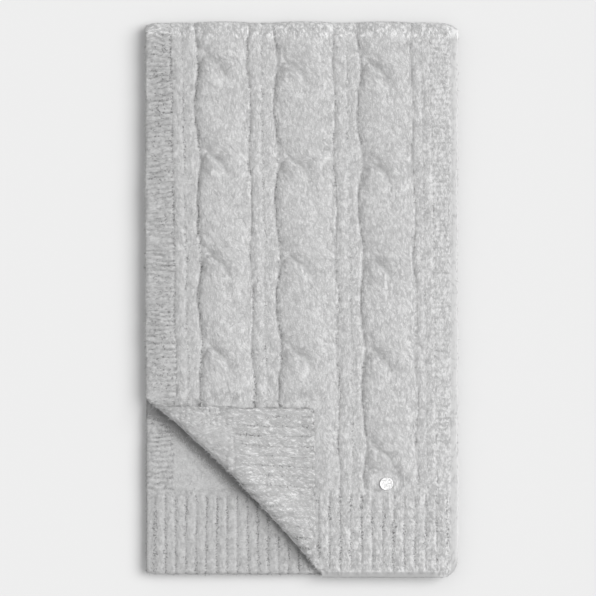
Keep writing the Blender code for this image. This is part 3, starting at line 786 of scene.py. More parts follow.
def build_front():
    """The stretch on top, from its hem to where it turns under at the top edge."""
    row, angle, cloth = laid_out(spaced(HEM_EDGE, TURN_LINE, DETAIL, True), 29, FRONT_TURN_RADIUS)
    start = np.maximum(-HALF, np.where(row < WINDOW_TOP, crease_x(row), -HALF))
    share = (spaced(-HALF, HALF, COLUMN_STEP, True, True) + HALF) / WIDTH
    x = start + (HALF - start) * share[None]
    y = np.broadcast_to(row, x.shape)
    height = front_height(x, y, np.broadcast_to(cloth, x.shape), angle)
    near_side = side_share(HALF - np.abs(x)) * np.where(start > -HALF + 0.01, x > 0.0, 1.0)
    frill = (0.7 * garter(x, cloth, 11) + 0.8 * noise(x, cloth, 17.0, 31)) * near_side
    frill = frill + LEFT_SPREAD * near_side * (x < 0.0)
    ribs, _ = rib_relief(x, y, FRONT_RIBS)
    fall = (0.2 * (ribs - 1.0) + 0.3 * noise(x, y, 24.0, 33)) * hem_fall(y, RIPPLE_RUN)
    fall = fall + HEM_SAG * hem_fall(y, SAG_RUN)
    outer = fold_over(x, y, angle, FRONT, height, fall, frill)

    across = inner_places(start[:, 0], np.full(len(row), HALF))
    y_in = np.broadcast_to(row, across.shape)
    inset = np.minimum(np.minimum(across - start, HALF - across), np.where(angle > 0.0, 99.0, y_in - HEM_EDGE))
    cut = (start > -HALF + 0.01) & (across < 0.5 * (start + HALF))
    inset = np.where(cut, y_in - HEM_EDGE, inset)
    nearest = np.abs(x[:, :, None] - across[:, None, :]).argmin(1)
    fall, frill = (np.take_along_axis(values, nearest, 1) for values in (fall, frill))
    inner = fold_over(across, y_in, angle, FRONT, underside(inset), fall, frill)
    plain = plain_rim(x, y, angle)
    # Painted shade on the plain rims, most on the hem's sloping edge and none round the top turn, added to painted
    # shade in the hollows and painted light and shade by the edges.
    shaded = 0.62 + 0.3 * smooth((HEM_EDGE + 9.0 - y) / 3.0) - 0.62 * smooth((y - TURN_LINE + 4.0) / 4.0)
    painted_shade = hollows(height, HOLLOW_REACH) - painted_light(x, y) + shaded * plain
    calm = 0.35 * smooth((x - 20.0) / 110.0) + 0.2 * smooth((x - 108.0) / 15.0)
    calm += 0.35 * smooth((y - TURN_LINE + 12.0) / 9.0)
    looks = np.stack([painted_shade, np.maximum(plain, calm)], -1)
    lines = front_lines(x, y, np.broadcast_to(cloth, x.shape), y < HEM_LINE)
    return make_tube("front_knit", outer, inner, cloth[:, 0], looks, lines)


def build_second():
    """The stretch under the front one, which shows below the turned corner."""
    fine_rows = spaced(HEM_EDGE + SECOND_SET_BACK, WINDOW_TOP, DETAIL, True)
    rows = np.concatenate([fine_rows, np.linspace(WINDOW_TOP, TURN_LINE, 24)[1:]])
    row, angle, cloth = laid_out(rows, 13, SECOND_TURN_RADIUS)
    edge = HALF - SECOND_INSET
    columns = np.concatenate(
        [
            [-edge],
            SECOND_RIBS["last"] + 0.125 * SECOND_RIBS["pitch"] * np.arange(-133, 23),
            np.linspace(44.0, edge - 8.0, 8)[1:],
            edge - np.array([6.0, 4.0, 2.4, 1.4, 0.7, 0.3, 0.0]),
        ]
    )
    x = np.broadcast_to(columns[None], (len(row), len(columns)))
    y = np.broadcast_to(row, x.shape)
    past, along = crease_place(x, y)
    shown = window(past)
    ribs, rib_fine = rib_relief(x, y, SECOND_RIBS)
    above = over_hem(y)
    inset = edge - np.abs(x)
    side = np.minimum(0.0, read_table(BORDER, inset) - WALL)
    taper = read_table(HEM_TAPER, y - HEM_EDGE - SECOND_SET_BACK)
    fine = STITCH_RISE * rib_fine * (1.0 - above)
    band = smooth((SECOND_BORDER - x) / 3.0) * above
    fine = fine + GARTER_RISE * garter(x, y, 13) * band + LUMP_RISE * lumps(x, y, 23)
    plain = 0.6 * noise(x, y, 15.0, 25) * above * (1.0 - band)
    rise = (ribs * (1.0 - above) * smooth((x + HALF) / 8.0) + plain) * shown + side
    rounded = smooth(np.minimum(inset, y - HEM_EDGE - SECOND_SET_BACK) / 2.5)
    height = (WALL + rise) * taper + fine * shown * rounded
    height = np.where(angle > 0.0, np.minimum(height, WALL), height)
    near_side = side_share(inset)
    frill = (0.5 * garter(x, cloth, 13) + 0.6 * noise(x, cloth, 17.0, 35)) * near_side
    frill = frill + LEFT_SPREAD * near_side * (x < 0.0)
    fall = 0.4 * (ribs - 1.0) * hem_fall(y, RIPPLE_RUN) * shown + SECOND_SAG * hem_fall(y, SAG_RUN)
    outer = fold_over(x, y, angle, SECOND, height, fall, frill)

    across = inner_places(np.full(len(row), -edge), np.full(len(row), edge))
    y_in = np.broadcast_to(row, across.shape)
    inset = np.minimum(edge - np.abs(across), np.where(angle > 0.0, 99.0, y_in - row[0]))
    frill = frill[:, np.abs(x[0][:, None] - across[0][None]).argmin(0)]
    inner = fold_over(across, y_in, angle, SECOND, underside(inset), SECOND_SAG * hem_fall(y_in, SAG_RUN), frill)
    # Painted shadow of the roll on the second stretch near the crease, deeper towards its upper-left end; the
    # stretch is also darker all over, with painted shade in its hollows.
    low = 1.7 * smooth((24.0 - past) / 13.0) * smooth(-along / 60.0 + 0.6)
    shade = smooth(past / 3.0) * (0.8 * smooth((16.0 - past) / 8.0) + low)
    painted_shade = hollows(height, HOLLOW_REACH) + 0.42 + shade
    looks = np.stack([painted_shade, np.zeros_like(painted_shade)], -1)
    return make_tube("second_knit", outer, inner, cloth[:, 0], looks, second_lines(x, y, y < HEM_LINE))


def roll_over(x, y, level):
    """Carries points of the flat corner round the roll. Level is their height over mid wall."""
    half = WALL / 2.0
    dx = x - CREASE_CENTRE[0]
    dy = y - CREASE_CENTRE[1]
    past = -(dx + dy) * DIAGONAL
    along = (dx - dy) * DIAGONAL
    share = past / ROLL_CLOTH
    shown = smooth((share - FLAP_RELIEF_START) / FLAP_RELIEF_RUN)
    level = np.where(level < -half, -half + (level + half) * shown, level)
    middle = FRONT_BASE + half
    thinner = FLAP_DROP * smooth((np.abs(along) - ROLL_END) / ROLL_END_RUN)
    roll = ROLL_RADIUS - 0.5 * thinner
    radius = roll - level
    angle = math.pi * np.minimum(share, 1.0)
    beyond = np.maximum(past - ROLL_CLOTH, 0.0)
    sine = np.maximum(np.sin(angle), 0.0) ** ROLL_SQUARE
    cosine = np.sign(np.cos(angle)) * np.abs(np.cos(angle)) ** ROLL_SQUARE
    out = np.where(beyond > 0.0, -beyond, radius * sine)
    z = middle + roll - radius * cosine - (FLAP_DROP - thinner) * smooth(beyond / FLAP_DROP_RUN)
    bow = crease_bow(along) * smooth(1.0 - beyond / (2.0 * FLAP_DROP_RUN))
    out = out - bow
    drawn = end_draw(along)
    placed_x = CREASE_CENTRE[0] + (along - out) * DIAGONAL - np.where(along > 0.0, drawn, 0.0)
    placed_y = CREASE_CENTRE[1] - (along + out) * DIAGONAL - np.where(along > 0.0, 0.0, drawn)
    return np.stack([placed_x, placed_y, z], -1)


def unturned(x, y):
    """Where a place on the turned corner lies once its cloth is laid flat."""
    dx = x - CREASE_CENTRE[0]
    dy = y - CREASE_CENTRE[1]
    bow = crease_bow((dx - dy) * DIAGONAL)
    inwards = (dx + dy) * DIAGONAL
    beyond = inwards - bow
    for _ in range(5):
        beyond = inwards - bow * smooth(1.0 - beyond / (2.0 * FLAP_DROP_RUN))
    shift = (ROLL_CLOTH + beyond - inwards) * DIAGONAL
    return CREASE_CENTRE[0] - dy - shift, CREASE_CENTRE[1] - dx - shift


def build_corner():
    """The turned corner: a triangle of cloth, made flat and rolled over the crease, wrong side up."""
    leg = CREASE_CENTRE[0] + CREASE_CENTRE[1] - GAP / DIAGONAL + HALF - HEM_EDGE
    count = 2 + int(round((leg - 2.0 * LATTICE_START) / CORNER_STEP))
    step = (leg - 2.0 * LATTICE_START) / (count - 2)
    places = np.concatenate([[0.0], LATTICE_START + step * np.arange(count - 1), [leg]])
    i, j = np.indices((count + 1, count + 1))
    inside = i + j <= count
    i, j = i[inside], j[inside]
    x = places[i] - HALF
    y = places[j] + HEM_EDGE
    half = WALL / 2.0
    inset = np.minimum(places[i], places[j])
    reach = 1.0 - np.minimum(inset, half) / half
    thick = half * np.sqrt(np.maximum(0.0, 1.0 - reach * reach))
    above = over_hem(y)
    ribs, rib_fine = rib_relief(x, y, CORNER_RIBS)
    fade = smooth(np.minimum(places[j], places[i] - 1.0) / 7.0)
    band = smooth((CORNER_BORDER - places[i]) / 4.0) * above
    rows = np.sin(2.0 * math.pi * (y / 7.4 + 0.25 * noise(x, y, 20.0, 43)))
    fine = STITCH_RISE * rib_fine * (1.0 - above) + 0.6 * GARTER_RISE * garter(x, y, 45) * band
    fine = fine + 0.16 * rows * above * (1.0 - band) + LUMP_RISE * lumps(x, y, 41)
    deep = (ribs * (1.0 - above) + 0.5 * (1.0 + noise(x, y, 18.0, 47)) * above) * fade
    under = -thick - deep - np.maximum(-0.4, fine) * smooth(inset / 2.5)
    frill = (0.5 * garter(x, y, 45) + 0.6 * noise(x, y, 17.0, 49)) * smooth(1.0 - places[i] / 6.0)
    settled = settle(x, y, FLAP_CORNER_RADIUS, FLAP_CORNER_RADIUS)
    fall = (0.45 * (ribs - 1.0) + 0.6 * noise(x, y, 22.0, 51)) * smooth(1.0 - places[j] / RIPPLE_RUN)
    fall = fall * smooth((29.0 - x) / 8.0)
    frill = frill * smooth((-89.0 - y) / 8.0)
    wrong = roll_over(x - frill, settled - fall, under)
    right = roll_over(x - frill, settled - fall, thick)

    index = np.full((count + 1, count + 1), -1)
    index[i, j] = np.arange(len(i))
    own = (i > 0) & (j > 0)
    right_index = index.copy()
    right_index[i[own], j[own]] = len(i) + np.arange(int(own.sum()))
    points = np.concatenate([wrong, right[own]])

    faces = []
    corners = []
    for at_i, at_j in np.argwhere(np.add.outer(np.arange(count), np.arange(count)) < count).tolist():
        whole = at_i + at_j <= count - 2
        steps = [(0, 0), (1, 0), (1, 1), (0, 1)] if whole else [(0, 0), (1, 0), (0, 1)]
        for table, turned in ((index, True), (right_index, False)):
            ring = steps[::-1] if turned else steps
            faces.append([int(table[at_i + a, at_j + b]) for a, b in ring])
            for a, b in ring:
                u, v = (at_i + a) / count * 0.985, (at_j + b) / count * 0.985
                corners.append((u, v) if turned else (1.0 - u, 1.0 - v))
    for at in range(count):
        ring = (
            (index, at, count - at),
            (index, at + 1, count - at - 1),
            (right_index, at + 1, count - at - 1),
            (right_index, at, count - at),
        )
        quad = [int(table[a, b]) for table, a, b in ring]
        if len(set(quad)) < 3:
            continue
        kept = [step for step in range(4) if quad[step] != quad[step - 1]]
        faces.append([quad[step] for step in kept])
        for step in kept:
            table, a, b = ring[step]
            shift = 0.0 if table is index else 0.012
            corners.append((a / count * 0.985 + shift, b / count * 0.985 + shift))
    depth = np.full((count + 1, count + 1), np.nan)
    depth[i, j] = deep + np.maximum(-0.4, fine)
    looks = np.zeros((len(points), 2))
    share = (CREASE_CENTRE[0] + CREASE_CENTRE[1] - x - y) * DIAGONAL / ROLL_CLOTH
    # Painted shade on the roll's lower side and painted light along the flap's edges, added to painted shade in its
    # hollows.
    low = 1.3 * smooth((0.6 - share) / 0.25) - 0.3 * smooth(1.0 - inset / 3.0)
    looks[: len(i), 0] = hollows(depth, HOLLOW_REACH)[i, j] + low - 0.6 + 0.45 * above
    lines = np.zeros((len(points), 3))
    lines[: len(i)] = corner_lines(x, y, y < HEM_LINE)
    return make_mesh("corner_knit", points, faces, corners, looks=looks, lines=lines)


def build_hidden():
    """The two hidden layers, joined at the fold along the bottom."""
    half = HALF - HIDDEN_INSET
    middle = HIDDEN_TOP / 2.0
    rows = spaced(HIDDEN_HEM + middle, TURN_LINE - GAP, 2.6)
    bends = np.radians(np.linspace(6.0, 90.0, 9))[:-1]
    y = np.concatenate([HIDDEN_HEM + middle * (1.0 - np.cos(bends)), rows])
    share = np.concatenate([np.sin(bends), np.ones(len(rows))])
    turns = [math.radians(-90.0 + 22.5 * step) for step in range(9)]
    edge = [(2.2 - 2.2 * math.cos(a), 2.175 + rise + 2.175 * math.sin(a)) for rise in (0.0, 4.35) for a in turns]
    edge = np.array(edge)
    flat = np.array([6.0, 20.0, 60.0, 150.0])
    inset = np.concatenate([edge[:, 0], flat])
    height = np.concatenate([edge[:, 1], np.full(len(flat), HIDDEN_TOP)])
    right = half - inset
    profile_x = np.concatenate([right, -right[-2::-1]])
    profile_z = np.concatenate([height, height[-2::-1]])
    x = np.broadcast_to(profile_x[None], (len(y), len(profile_x)))
    z = middle + (profile_z[None] - middle) * share[:, None]
    ys = np.broadcast_to(y[:, None], x.shape)
    side = side_share(half - np.abs(x))
    frill = np.where(z < middle, garter(x * 0.0, ys, 61), garter(x * 0.0 + 40.0, ys + 2.1, 67))
    frill = (0.45 * frill + 0.5 * noise(x, ys, 17.0, 63) + LEFT_SPREAD * (x < 0.0)) * side
    placed_y = settle(x, ys, HEM_CORNER_RADIUS, HEM_CORNER_RADIUS)
    ring = np.stack([x + frill * np.sign(x), placed_y, z], -1)
    columns = ring.shape[1]
    points = ring.reshape(-1, 3)
    faces = ring_faces(len(y), columns)[:, ::-1]
    across = np.linspace(0.0, 1.0, columns + 1)
    along = 0.01 + 0.98 * (y - y[0]) / (y[-1] - y[0])
    corners = ring_map(across, along).reshape(-1, 4, 2)[:, ::-1].reshape(-1, 2)
    made_faces = faces.tolist()
    ends = ((0, True), ((len(y) - 1) * columns, False))
    for first, turned in ends:
        ngon = list(range(first, first + columns))
        made_faces.append(ngon if turned else ngon[::-1])
        spin = np.linspace(0.0, 2.0 * math.pi, columns, endpoint=False)
        low = 0.003 if turned else 0.996
        corners = np.concatenate([corners, np.stack([0.5 + 0.4 * np.cos(spin), low + 0.002 * np.sin(spin)], -1)])
    return make_mesh("hidden_knit", points, made_faces, corners)


def build_badge():
    """The bare metal disc with a soft raised rim."""
    top = BADGE_BASE + BADGE_THICKNESS
    profile = (
        # inset from the rim, height
        (BADGE_RADIUS, BADGE_BASE),
        (0.5, BADGE_BASE),
        (0.15, BADGE_BASE + 0.15),
        (0.0, BADGE_BASE + 0.5),
        (0.0, top - 0.45),
        (0.12, top - 0.18),
        (0.35, top - 0.03),
        (0.7, top),
        (0.95, top - 0.04),
        (1.2, top - 0.1),
        (2.2, top - 0.12),
        (4.2, top - 0.1),
        (BADGE_RADIUS, top - 0.08),
    )
    segments = 96
    inset, height = np.array(profile).T
    spin = np.linspace(0.0, 2.0 * math.pi, segments + 1)
    rings = np.empty((len(profile), segments, 3))
    rings[..., 0] = BADGE_CENTRE[0] + (BADGE_RADIUS - inset)[:, None] * np.cos(spin[:-1])
    rings[..., 1] = BADGE_CENTRE[1] + (BADGE_RADIUS - inset)[:, None] * np.sin(spin[:-1])
    rings[..., 2] = height[:, None]
    points = np.concatenate([rings[0, :1], rings[1:-1].reshape(-1, 3), rings[-1, :1]])
    count = len(profile) - 2
    last = count * segments + 1
    step = np.hypot(np.diff(inset), np.diff(height))
    away = 0.48 * np.concatenate([[0.0], step.cumsum()]) / step.sum()
    faces = (ring_faces(count, segments) + 1).tolist()
    polar = [ring_map(spin, away[1:-1])]
    for apex, first, rim, centre, way in ((0, 1, *away[1::-1], -1), (last, last - segments, *away[-2:], 1)):
        at = first + np.arange(segments)
        fan = np.stack([at, np.roll(at, -1), np.full(segments, apex)], -1)
        faces += fan[:, ::way].tolist()
        across = np.stack([spin[:-1], spin[1:], spin[:-1]], -1)
        laid = np.stack([across, np.broadcast_to((rim, rim, centre), across.shape)], -1)
        polar.append(laid[:, ::way].reshape(-1, 2))
    polar = np.concatenate(polar)
    corners = 0.5 + polar[:, 1:] * np.stack([np.cos(polar[:, 0]), np.sin(polar[:, 0])], -1)
    return make_mesh("badge_disc", points, faces, corners)


# ---- fuzz


def surface_spots(obj, count, rng, wanted):
    """Random places on a piece where wanted allows, in millimetres, with their normals and painted shade."""
    mesh = obj.data
    mesh.calc_loop_triangles()
    corners = read_all(mesh.loop_triangles, "vertices", 3, np.int32)
    points = read_all(mesh.vertices, "co", 3).astype(float) / MM
    normals = read_all(mesh.vertices, "normal", 3).astype(float)
    looks = read_all(mesh.color_attributes["looks"].data, "color", 4)
    a, b, c = (points[corners[:, side]] for side in range(3))
    area = np.linalg.norm(np.cross(b - a, c - a), axis=1) / 2.0
    area = area * wanted(*((a + b + c) / 3.0).T, normals[corners].mean(1)[:, 2])
    chosen = corners[rng.choice(len(area), count, p=area / area.sum())]
    u, v = rng.random((2, count))
    over = u + v > 1.0
    u = np.where(over, 1.0 - u, u)
    v = np.where(over, 1.0 - v, v)
    weights = np.stack([1.0 - u - v, u, v], -1)
    place, normal, looks = ((values[chosen] * weights[..., None]).sum(1) for values in (points, normals, looks))
    return place, unit(normal), looks[:, 0]


def unit(vectors):
    """Vectors of length 1."""
    return vectors / np.maximum(np.linalg.norm(vectors, axis=-1, keepdims=True), 1e-9)


def build_fibres(name, grown_on, roots, normals, painted_shade, rng, table):
    """Tufts of ribbon fibres, joined in one mesh. A long fibre bends at a knee, and a short one is straight."""
    tuft, lift = table["tuft"], table["lift"]
    count = len(roots) * tuft
    hem = np.repeat(in_hem(grown_on, roots), tuft)
    normal = np.repeat(normals, tuft, axis=0)
    pull = yarn_grain(grown_on, roots) * rng.choice((-1.0, 1.0), (len(roots), 1)) * table["grain"]
    wild = rng.normal(size=roots.shape) + pull
    tangent = unit(wild - normals * (wild * normals).sum(1, keepdims=True))
    heading = np.repeat(tangent, tuft, axis=0)
    heading = unit(heading + np.cross(normal, heading) * rng.normal(0.0, 0.12, (count, 1)))
    side = unit(np.cross(normal, heading))
    roots = np.repeat(roots, tuft, axis=0)
    roots = roots + side * rng.normal(0.0, 0.22, (count, 1)) + heading * rng.normal(0.0, 0.7, (count, 1))
    x, y, _ = roots.T
    near_edge = np.minimum(HALF - np.abs(x), np.minimum(TOP_EDGE - y, y - HEM_EDGE))[:, None]
    shorter = 0.5 + 0.5 * smooth(near_edge / 6.0)
    long = table["length"] * shorter * np.exp(np.clip(rng.normal(0.0, 0.3, (count, 1)), -0.7, 0.6))
    rise = np.clip(np.abs(rng.normal(lift, 0.6 * lift, (count, 1))), 0.0, 2.2 * lift)
    start = roots - normal * 0.04
    turn = unit(heading + normal * rise)
    knee = start + turn * long * 0.5
    late = unit(heading + side * rng.normal(0.0, 0.35, (count, 1)) + normal * (0.15 * rise - 0.03))
    tip = knee + late * long * 0.5
    for spot in (start, knee, tip):
        spot[:, 2] = np.maximum(spot[:, 2], 0.25)
    wide = table["width"] * np.exp(rng.normal(0.0, 0.25, (count, 1)))
    flat = unit(np.cross(turn, normal) + 0.12 * rng.normal(size=(count, 3))) * wide
    flat_late = unit(np.cross(late, normal) + 0.12 * rng.normal(size=(count, 3))) * wide
    points = [start - flat * 0.5, start + flat * 0.5]
    if table["knee"]:
        points += [knee + flat_late * 0.42, knee - flat_late * 0.42, tip]
        loops, starts = np.array([0, 1, 2, 3, 3, 2, 4]), np.array([0, 4])
        shape = np.array([(0.0, 0.0), (0.8, 0.0), (0.8, 0.4), (0.0, 0.4), (0.4, 0.8)])
    else:
        points += [tip + flat_late * 0.15, tip - flat_late * 0.15]
        loops, starts = np.arange(4), np.array([0])
        shape = np.array([(0.0, 0.0), (0.8, 0.0), (0.8, 0.8), (0.0, 0.8)])
    corners = len(points)
    points = np.stack(points, 1)
    order = np.arange(count)[:, None]
    mesh = bpy.data.meshes.new(name)
    mesh.vertices.add(count * corners)
    mesh.vertices.foreach_set("co", flat_row(points * MM))
    mesh.loops.add(count * len(loops))
    mesh.loops.foreach_set("vertex_index", flat_row(order * corners + loops, np.int32))
    mesh.polygons.add(count * len(starts))
    mesh.polygons.foreach_set("loop_start", flat_row(order * len(loops) + starts, np.int32))
    mesh.update(calc_edges=True)
    grid = int(math.ceil(math.sqrt(count)))
    cell = np.concatenate([order % grid, order // grid], 1)[:, None] + 0.1
    mesh.uv_layers.new(name="OFBake").uv.foreach_set("vector", flat_row((cell + shape[loops]) / grid))
    shared = rng.random((2, len(normals)))
    shared = 0.16 * shared[0] - 0.8 * smooth((shared[1] - 0.8) / 0.2)
    contrast = 1.1 - 0.5 * smooth((x + 90.0) / 220.0) - 0.15 * smooth((x - 105.0) / 20.0)
    contrast -= 0.4 * smooth((y - TURN_LINE + 12.0) / 9.0)
    # The fibres carry the painted shade and light of the cloth they grow from over their random tone, and may be
    # paler near the top edge, where light is painted.
    tone = 0.62 + (np.repeat(shared, tuft) + 0.15 * rng.random(count)) * contrast - 0.5 * np.repeat(painted_shade, tuft)
    most = 0.85 + 0.2 * smooth((y - TURN_LINE + 9.0) / 10.0)
    add_shade(mesh, "tone", np.repeat(np.clip(tone, -0.5, most), corners)[:, None])
    lie = mesh.attributes.new("lie", "FLOAT_VECTOR", "POINT")
    lie.data.foreach_set("vector", flat_row(np.repeat(normal, corners, axis=0)))
    spots = points.reshape(-1, 3)
    add_shade(mesh, "lines", lines_at(grown_on, spots[:, 0], spots[:, 1], np.repeat(hem, corners)))
    mesh.shade_smooth()
    return put(name, mesh)


def in_hem(grown_on, places):
    """Whether places on a piece lie in its ribbed hem."""
    x, y, _ = places.T
    return (unturned(x, y)[1] if grown_on is corner else y) < HEM_LINE


def lines_at(grown_on, x, y, hem):
    """What lies across a piece's grooves at places on it, for the painted groove shade on its fibres."""
    if grown_on is hidden:
        return np.zeros((len(x), 3))
    if grown_on is second:
        return second_lines(x, y, hem)
    if grown_on is corner:
        return corner_lines(*unturned(x, y), hem)
    return front_lines(x, y, y, hem)


# ---- materials


def fill(node, takes):
    """Sets a node's sockets to numbers, or links other nodes' outputs to them."""
    for socket, value in takes.items():
        if isinstance(value, bpy.types.NodeSocket):
            node.id_data.links.new(value, node.inputs[socket])
        else:
            node.inputs[socket].default_value = value


def add(tree, kind, takes, gives=0, **settings):
    """Adds a node, fills its sockets and returns one of its outputs."""
    node = tree.nodes.new("ShaderNode" + kind)
    for key, value in settings.items():
        setattr(node, key, value)
    fill(node, takes)
    return node.outputs[gives]


def multiply_add(value, times, plus):
    """A node for value * times + plus."""
    return add(value.id_data, "Math", {0: value, 1: times, 2: plus}, operation="MULTIPLY_ADD")


def grey(tree, dark, light, share):
    """A node for a grey between two others."""
    takes = {"A": (dark, dark, dark, 1.0), "B": (light, light, light, 1.0), "Factor": share}
    return add(tree, "Mix", takes, "Result", data_type="RGBA")


def read_shade(tree, name):
    """The numbers that add_shade wrote, as the outputs Red, Green and Blue."""
    colour = add(tree, "Attribute", {}, "Color", attribute_name=name)
    return add(tree, "SeparateColor", {"Color": colour}).node.outputs


def new_material(name):
    """A material with its node tree and shader."""
    made = bpy.data.materials.new(name)
    made.use_nodes = True
    return made, made.node_tree, made.node_tree.nodes["Principled BSDF"]


def painted_groove_shade(tree):
    """Nodes for the painted shade in the grooves: dark broken lines there and in the curls of the borders, from 0 to
    1.
    """
    place = add(tree, "TexCoord", {}, "Object")
    lines = read_shade(tree, "lines")

    def noise_of(scale, detail, stretch):
        vector = add(tree, "Mapping", {"Vector": place, "Scale": (stretch, 1.0, 0.1)})
        return add(tree, "TexNoise", {"Scale": scale, "Detail": detail, "Vector": vector}, "Fac")

    def ranged(value, low, high, to_low, to_high):
        takes = {"Value": value, "From Min": low, "From Max": high, "To Min": to_low, "To Max": to_high}
        return add(tree, "MapRange", takes, interpolation_type="SMOOTHSTEP")

    def maths(operation, first, second):
        return add(tree, "Math", {0: first, 1: second}, operation=operation)

    gate = ranged(noise_of(620.0, 2.0, 1.0), 0.46, 0.60, 0.0, 1.0)
    wander = maths("MULTIPLY", maths("SUBTRACT", noise_of(300.0, 1.0, 1.0), 0.5), 0.75)
    away = maths("PINGPONG", maths("ADD", lines["Red"], wander), 0.5)
    groove = maths("MULTIPLY", ranged(away, 0.0, LINE_WIDTH, 1.0, 0.0), lines["Green"])
    swirl = maths("ABSOLUTE", maths("SUBTRACT", noise_of(190.0, 2.0, 0.45), 0.5), 0.0)
    curl = maths("MULTIPLY", ranged(swirl, 0.0, 0.05, 1.0, 0.0), lines["Blue"])
    return maths("MULTIPLY", maths("MAXIMUM", groove, curl), gate)


def knit_material(name, seed):
    """Brushed wool: mottled grey, fine fibre streaks in its colour and bump, a soft sheen, and painted shade and
    light in its colour.
    """
    made, tree, shader = new_material(name)
    place = add(tree, "TexCoord", {}, "Object")
    moved = add(tree, "Mapping", {"Vector": place, "Location": (seed, seed * 0.7, seed * 0.3)})
    total = add(tree, "TexNoise", {"Vector": moved, "Scale": 620.0, "Detail": 3.0, "Roughness": 0.65}, "Fac")
    for turn in (1.35, 1.75, 2.3):
        stretch = {"Vector": moved, "Rotation": (0.0, 0.0, turn), "Scale": (1.0, 5.0, 1.0)}
        streak = {"Vector": add(tree, "Mapping", stretch), "Scale": 380.0, "Detail": 2.0, "Distortion": 0.6}
        total = multiply_add(add(tree, "TexNoise", streak, "Fac"), 0.5, total)
    total = multiply_add(total, BASE_CONTRAST, BASE_TONE * (1.0 - BASE_CONTRAST))
    looks = read_shade(tree, "looks")
    total = add(tree, "Mix", {"Factor": looks["Green"], "A": total, "B": 1.3}, "Result", data_type="FLOAT")
    # Painted shade in hollows, creases and rims darkens the colour, and painted light lightens it where the shade is
    # negative; then the painted groove shade.
    shaded_tone = multiply_add(looks["Red"], -0.36, total)
    groove_shaded = multiply_add(painted_groove_shade(tree), -0.5 * LINE_DARKNESS, shaded_tone)
    spread = add(tree, "MapRange", {"Value": groove_shaded, "From Min": 0.76, "From Max": 1.55})
    fill(
        shader,
        {
            "Base Color": grey(tree, DEEP, PALE, spread),
            "Roughness": add(tree, "MapRange", {"Value": spread, "To Min": 0.98, "To Max": 0.86}),
            "Normal": add(tree, "Bump", {"Height": total, "Strength": 0.55, "Distance": 0.0009}),
            "Specular IOR Level": 0.15,
            "Sheen Weight": 0.06,
            "Sheen Roughness": 0.6,
        },
    )
    return made


def fibre_material(name):
    """Single fibres, each of its own tone with painted shade and light, lit partly as the cloth below them is."""
    made, tree, shader = new_material(name)
    place = add(tree, "TexCoord", {}, "Object")
    flattened = add(tree, "Mapping", {"Vector": place, "Scale": (1.0, 0.7, 0.2)})
    takes = {"Vector": flattened, "Scale": SPECK_SCALE, "Detail": 2.0, "Roughness": 0.7}
    tone = add(tree, "Attribute", {}, "Fac", attribute_name="tone")
    speckled = multiply_add(add(tree, "TexNoise", takes, "Fac"), SPECK_CONTRAST, tone)
    # Painted shade along the grooves and curls.
    groove_shaded = multiply_add(painted_groove_shade(tree), -LINE_DARKNESS, speckled)
    middle = 0.5 * SPECK_CONTRAST
    kept = add(tree, "MapRange", {"Value": groove_shaded, "From Min": middle - 0.3, "From Max": middle + 0.95})
    own = add(tree, "NewGeometry", {}, "Normal")
    lie = add(tree, "Attribute", {}, "Vector", attribute_name="lie")
    bent = add(tree, "Mix", {"Factor": FIBRE_CALM, "A": own, "B": lie}, "Result", data_type="VECTOR")
    fill(
        shader,
        {
            "Base Color": grey(tree, FIBRE_DEEP, FIBRE_PALE, kept),
            "Normal": add(tree, "VectorMath", {0: bent}, operation="NORMALIZE"),
            "Roughness": 0.85,
            "Specular IOR Level": 0.2,
        },
    )
    return made


def badge_material(name):
    """Satin silver with faint marks of wear."""
    made, tree, shader = new_material(name)
    place = add(tree, "TexCoord", {}, "Object")
    marks = add(tree, "TexNoise", {"Vector": place, "Scale": 700.0, "Detail": 4.0}, "Fac")
    worn = add(tree, "MapRange", {"Value": marks, "From Min": 0.36, "From Max": 0.56})
    fill(
        shader,
        {
            "Base Color": grey(tree, BADGE_DEEP, BADGE_PALE, worn),
            "Roughness": add(tree, "MapRange", {"Value": marks, "To Min": 0.42, "To Max": 0.6}),
            "Normal": add(tree, "Bump", {"Height": marks, "Strength": 0.4, "Distance": 0.0003}),
            "Metallic": 1.0,
        },
    )
    return made


# ---- the scarf

front = build_front()
corner = build_corner()
second = build_second()
hidden = build_hidden()
badge = build_badge()

pieces = (
    (front, "front_stretch", "front_knit", knit_material("front_wool", 0.1)),
    (corner, "turned_corner", "corner_knit", knit_material("corner_wool", 0.4)),
    (second, "second_stretch", "second_knit", knit_material("second_wool", 0.7)),
    (hidden, "folded_stretches", "hidden_knit", knit_material("hidden_wool", 0.9)),
    (badge, "badge", "badge_metal", badge_material("badge_silver")),
)
for piece, node, slot, material in pieces:
    piece.data.materials.append(material)
    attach(piece, "root")
    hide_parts(node)

fibre_wool = fibre_material("fibre_wool")
THINNING = 1.0


def on_top(x, y, z, up):
    """Where the front stretch's fuzz grows: its outer side, clear of the flap, the roll and the badge."""
    past, along = crease_place(x, y)
    free = (from_badge(x, y) > BADGE_RADIUS - 0.5) & (up > -0.3) & (z > FRONT_BASE - 9.0)
    free &= (past < -3.0) & ((FLAP_REACH - np.abs(along) + past) * DIAGONAL <= 4.0)
    low = HEM_EDGE - HEM_SAG + PLAIN_HEM * smooth((HALF - 8.0 - x) / 16.0)
    free &= y > low + hem_lift(x, HEM_CORNER_RADIUS, HEM_CORNER_RADIUS)
    return free * (1.0 - 0.85 * smooth((x - HALF + PLAIN_RIM + 1.0) / 2.5))


def on_flap(x, y, z, up):
    """Where the turned corner's fuzz grows: the side that shows, and not low on the roll."""
    return (up > np.where(crease_place(x, y)[0] > -4.0, 0.45, -0.2)) & (z > FRONT_BASE + 0.5)


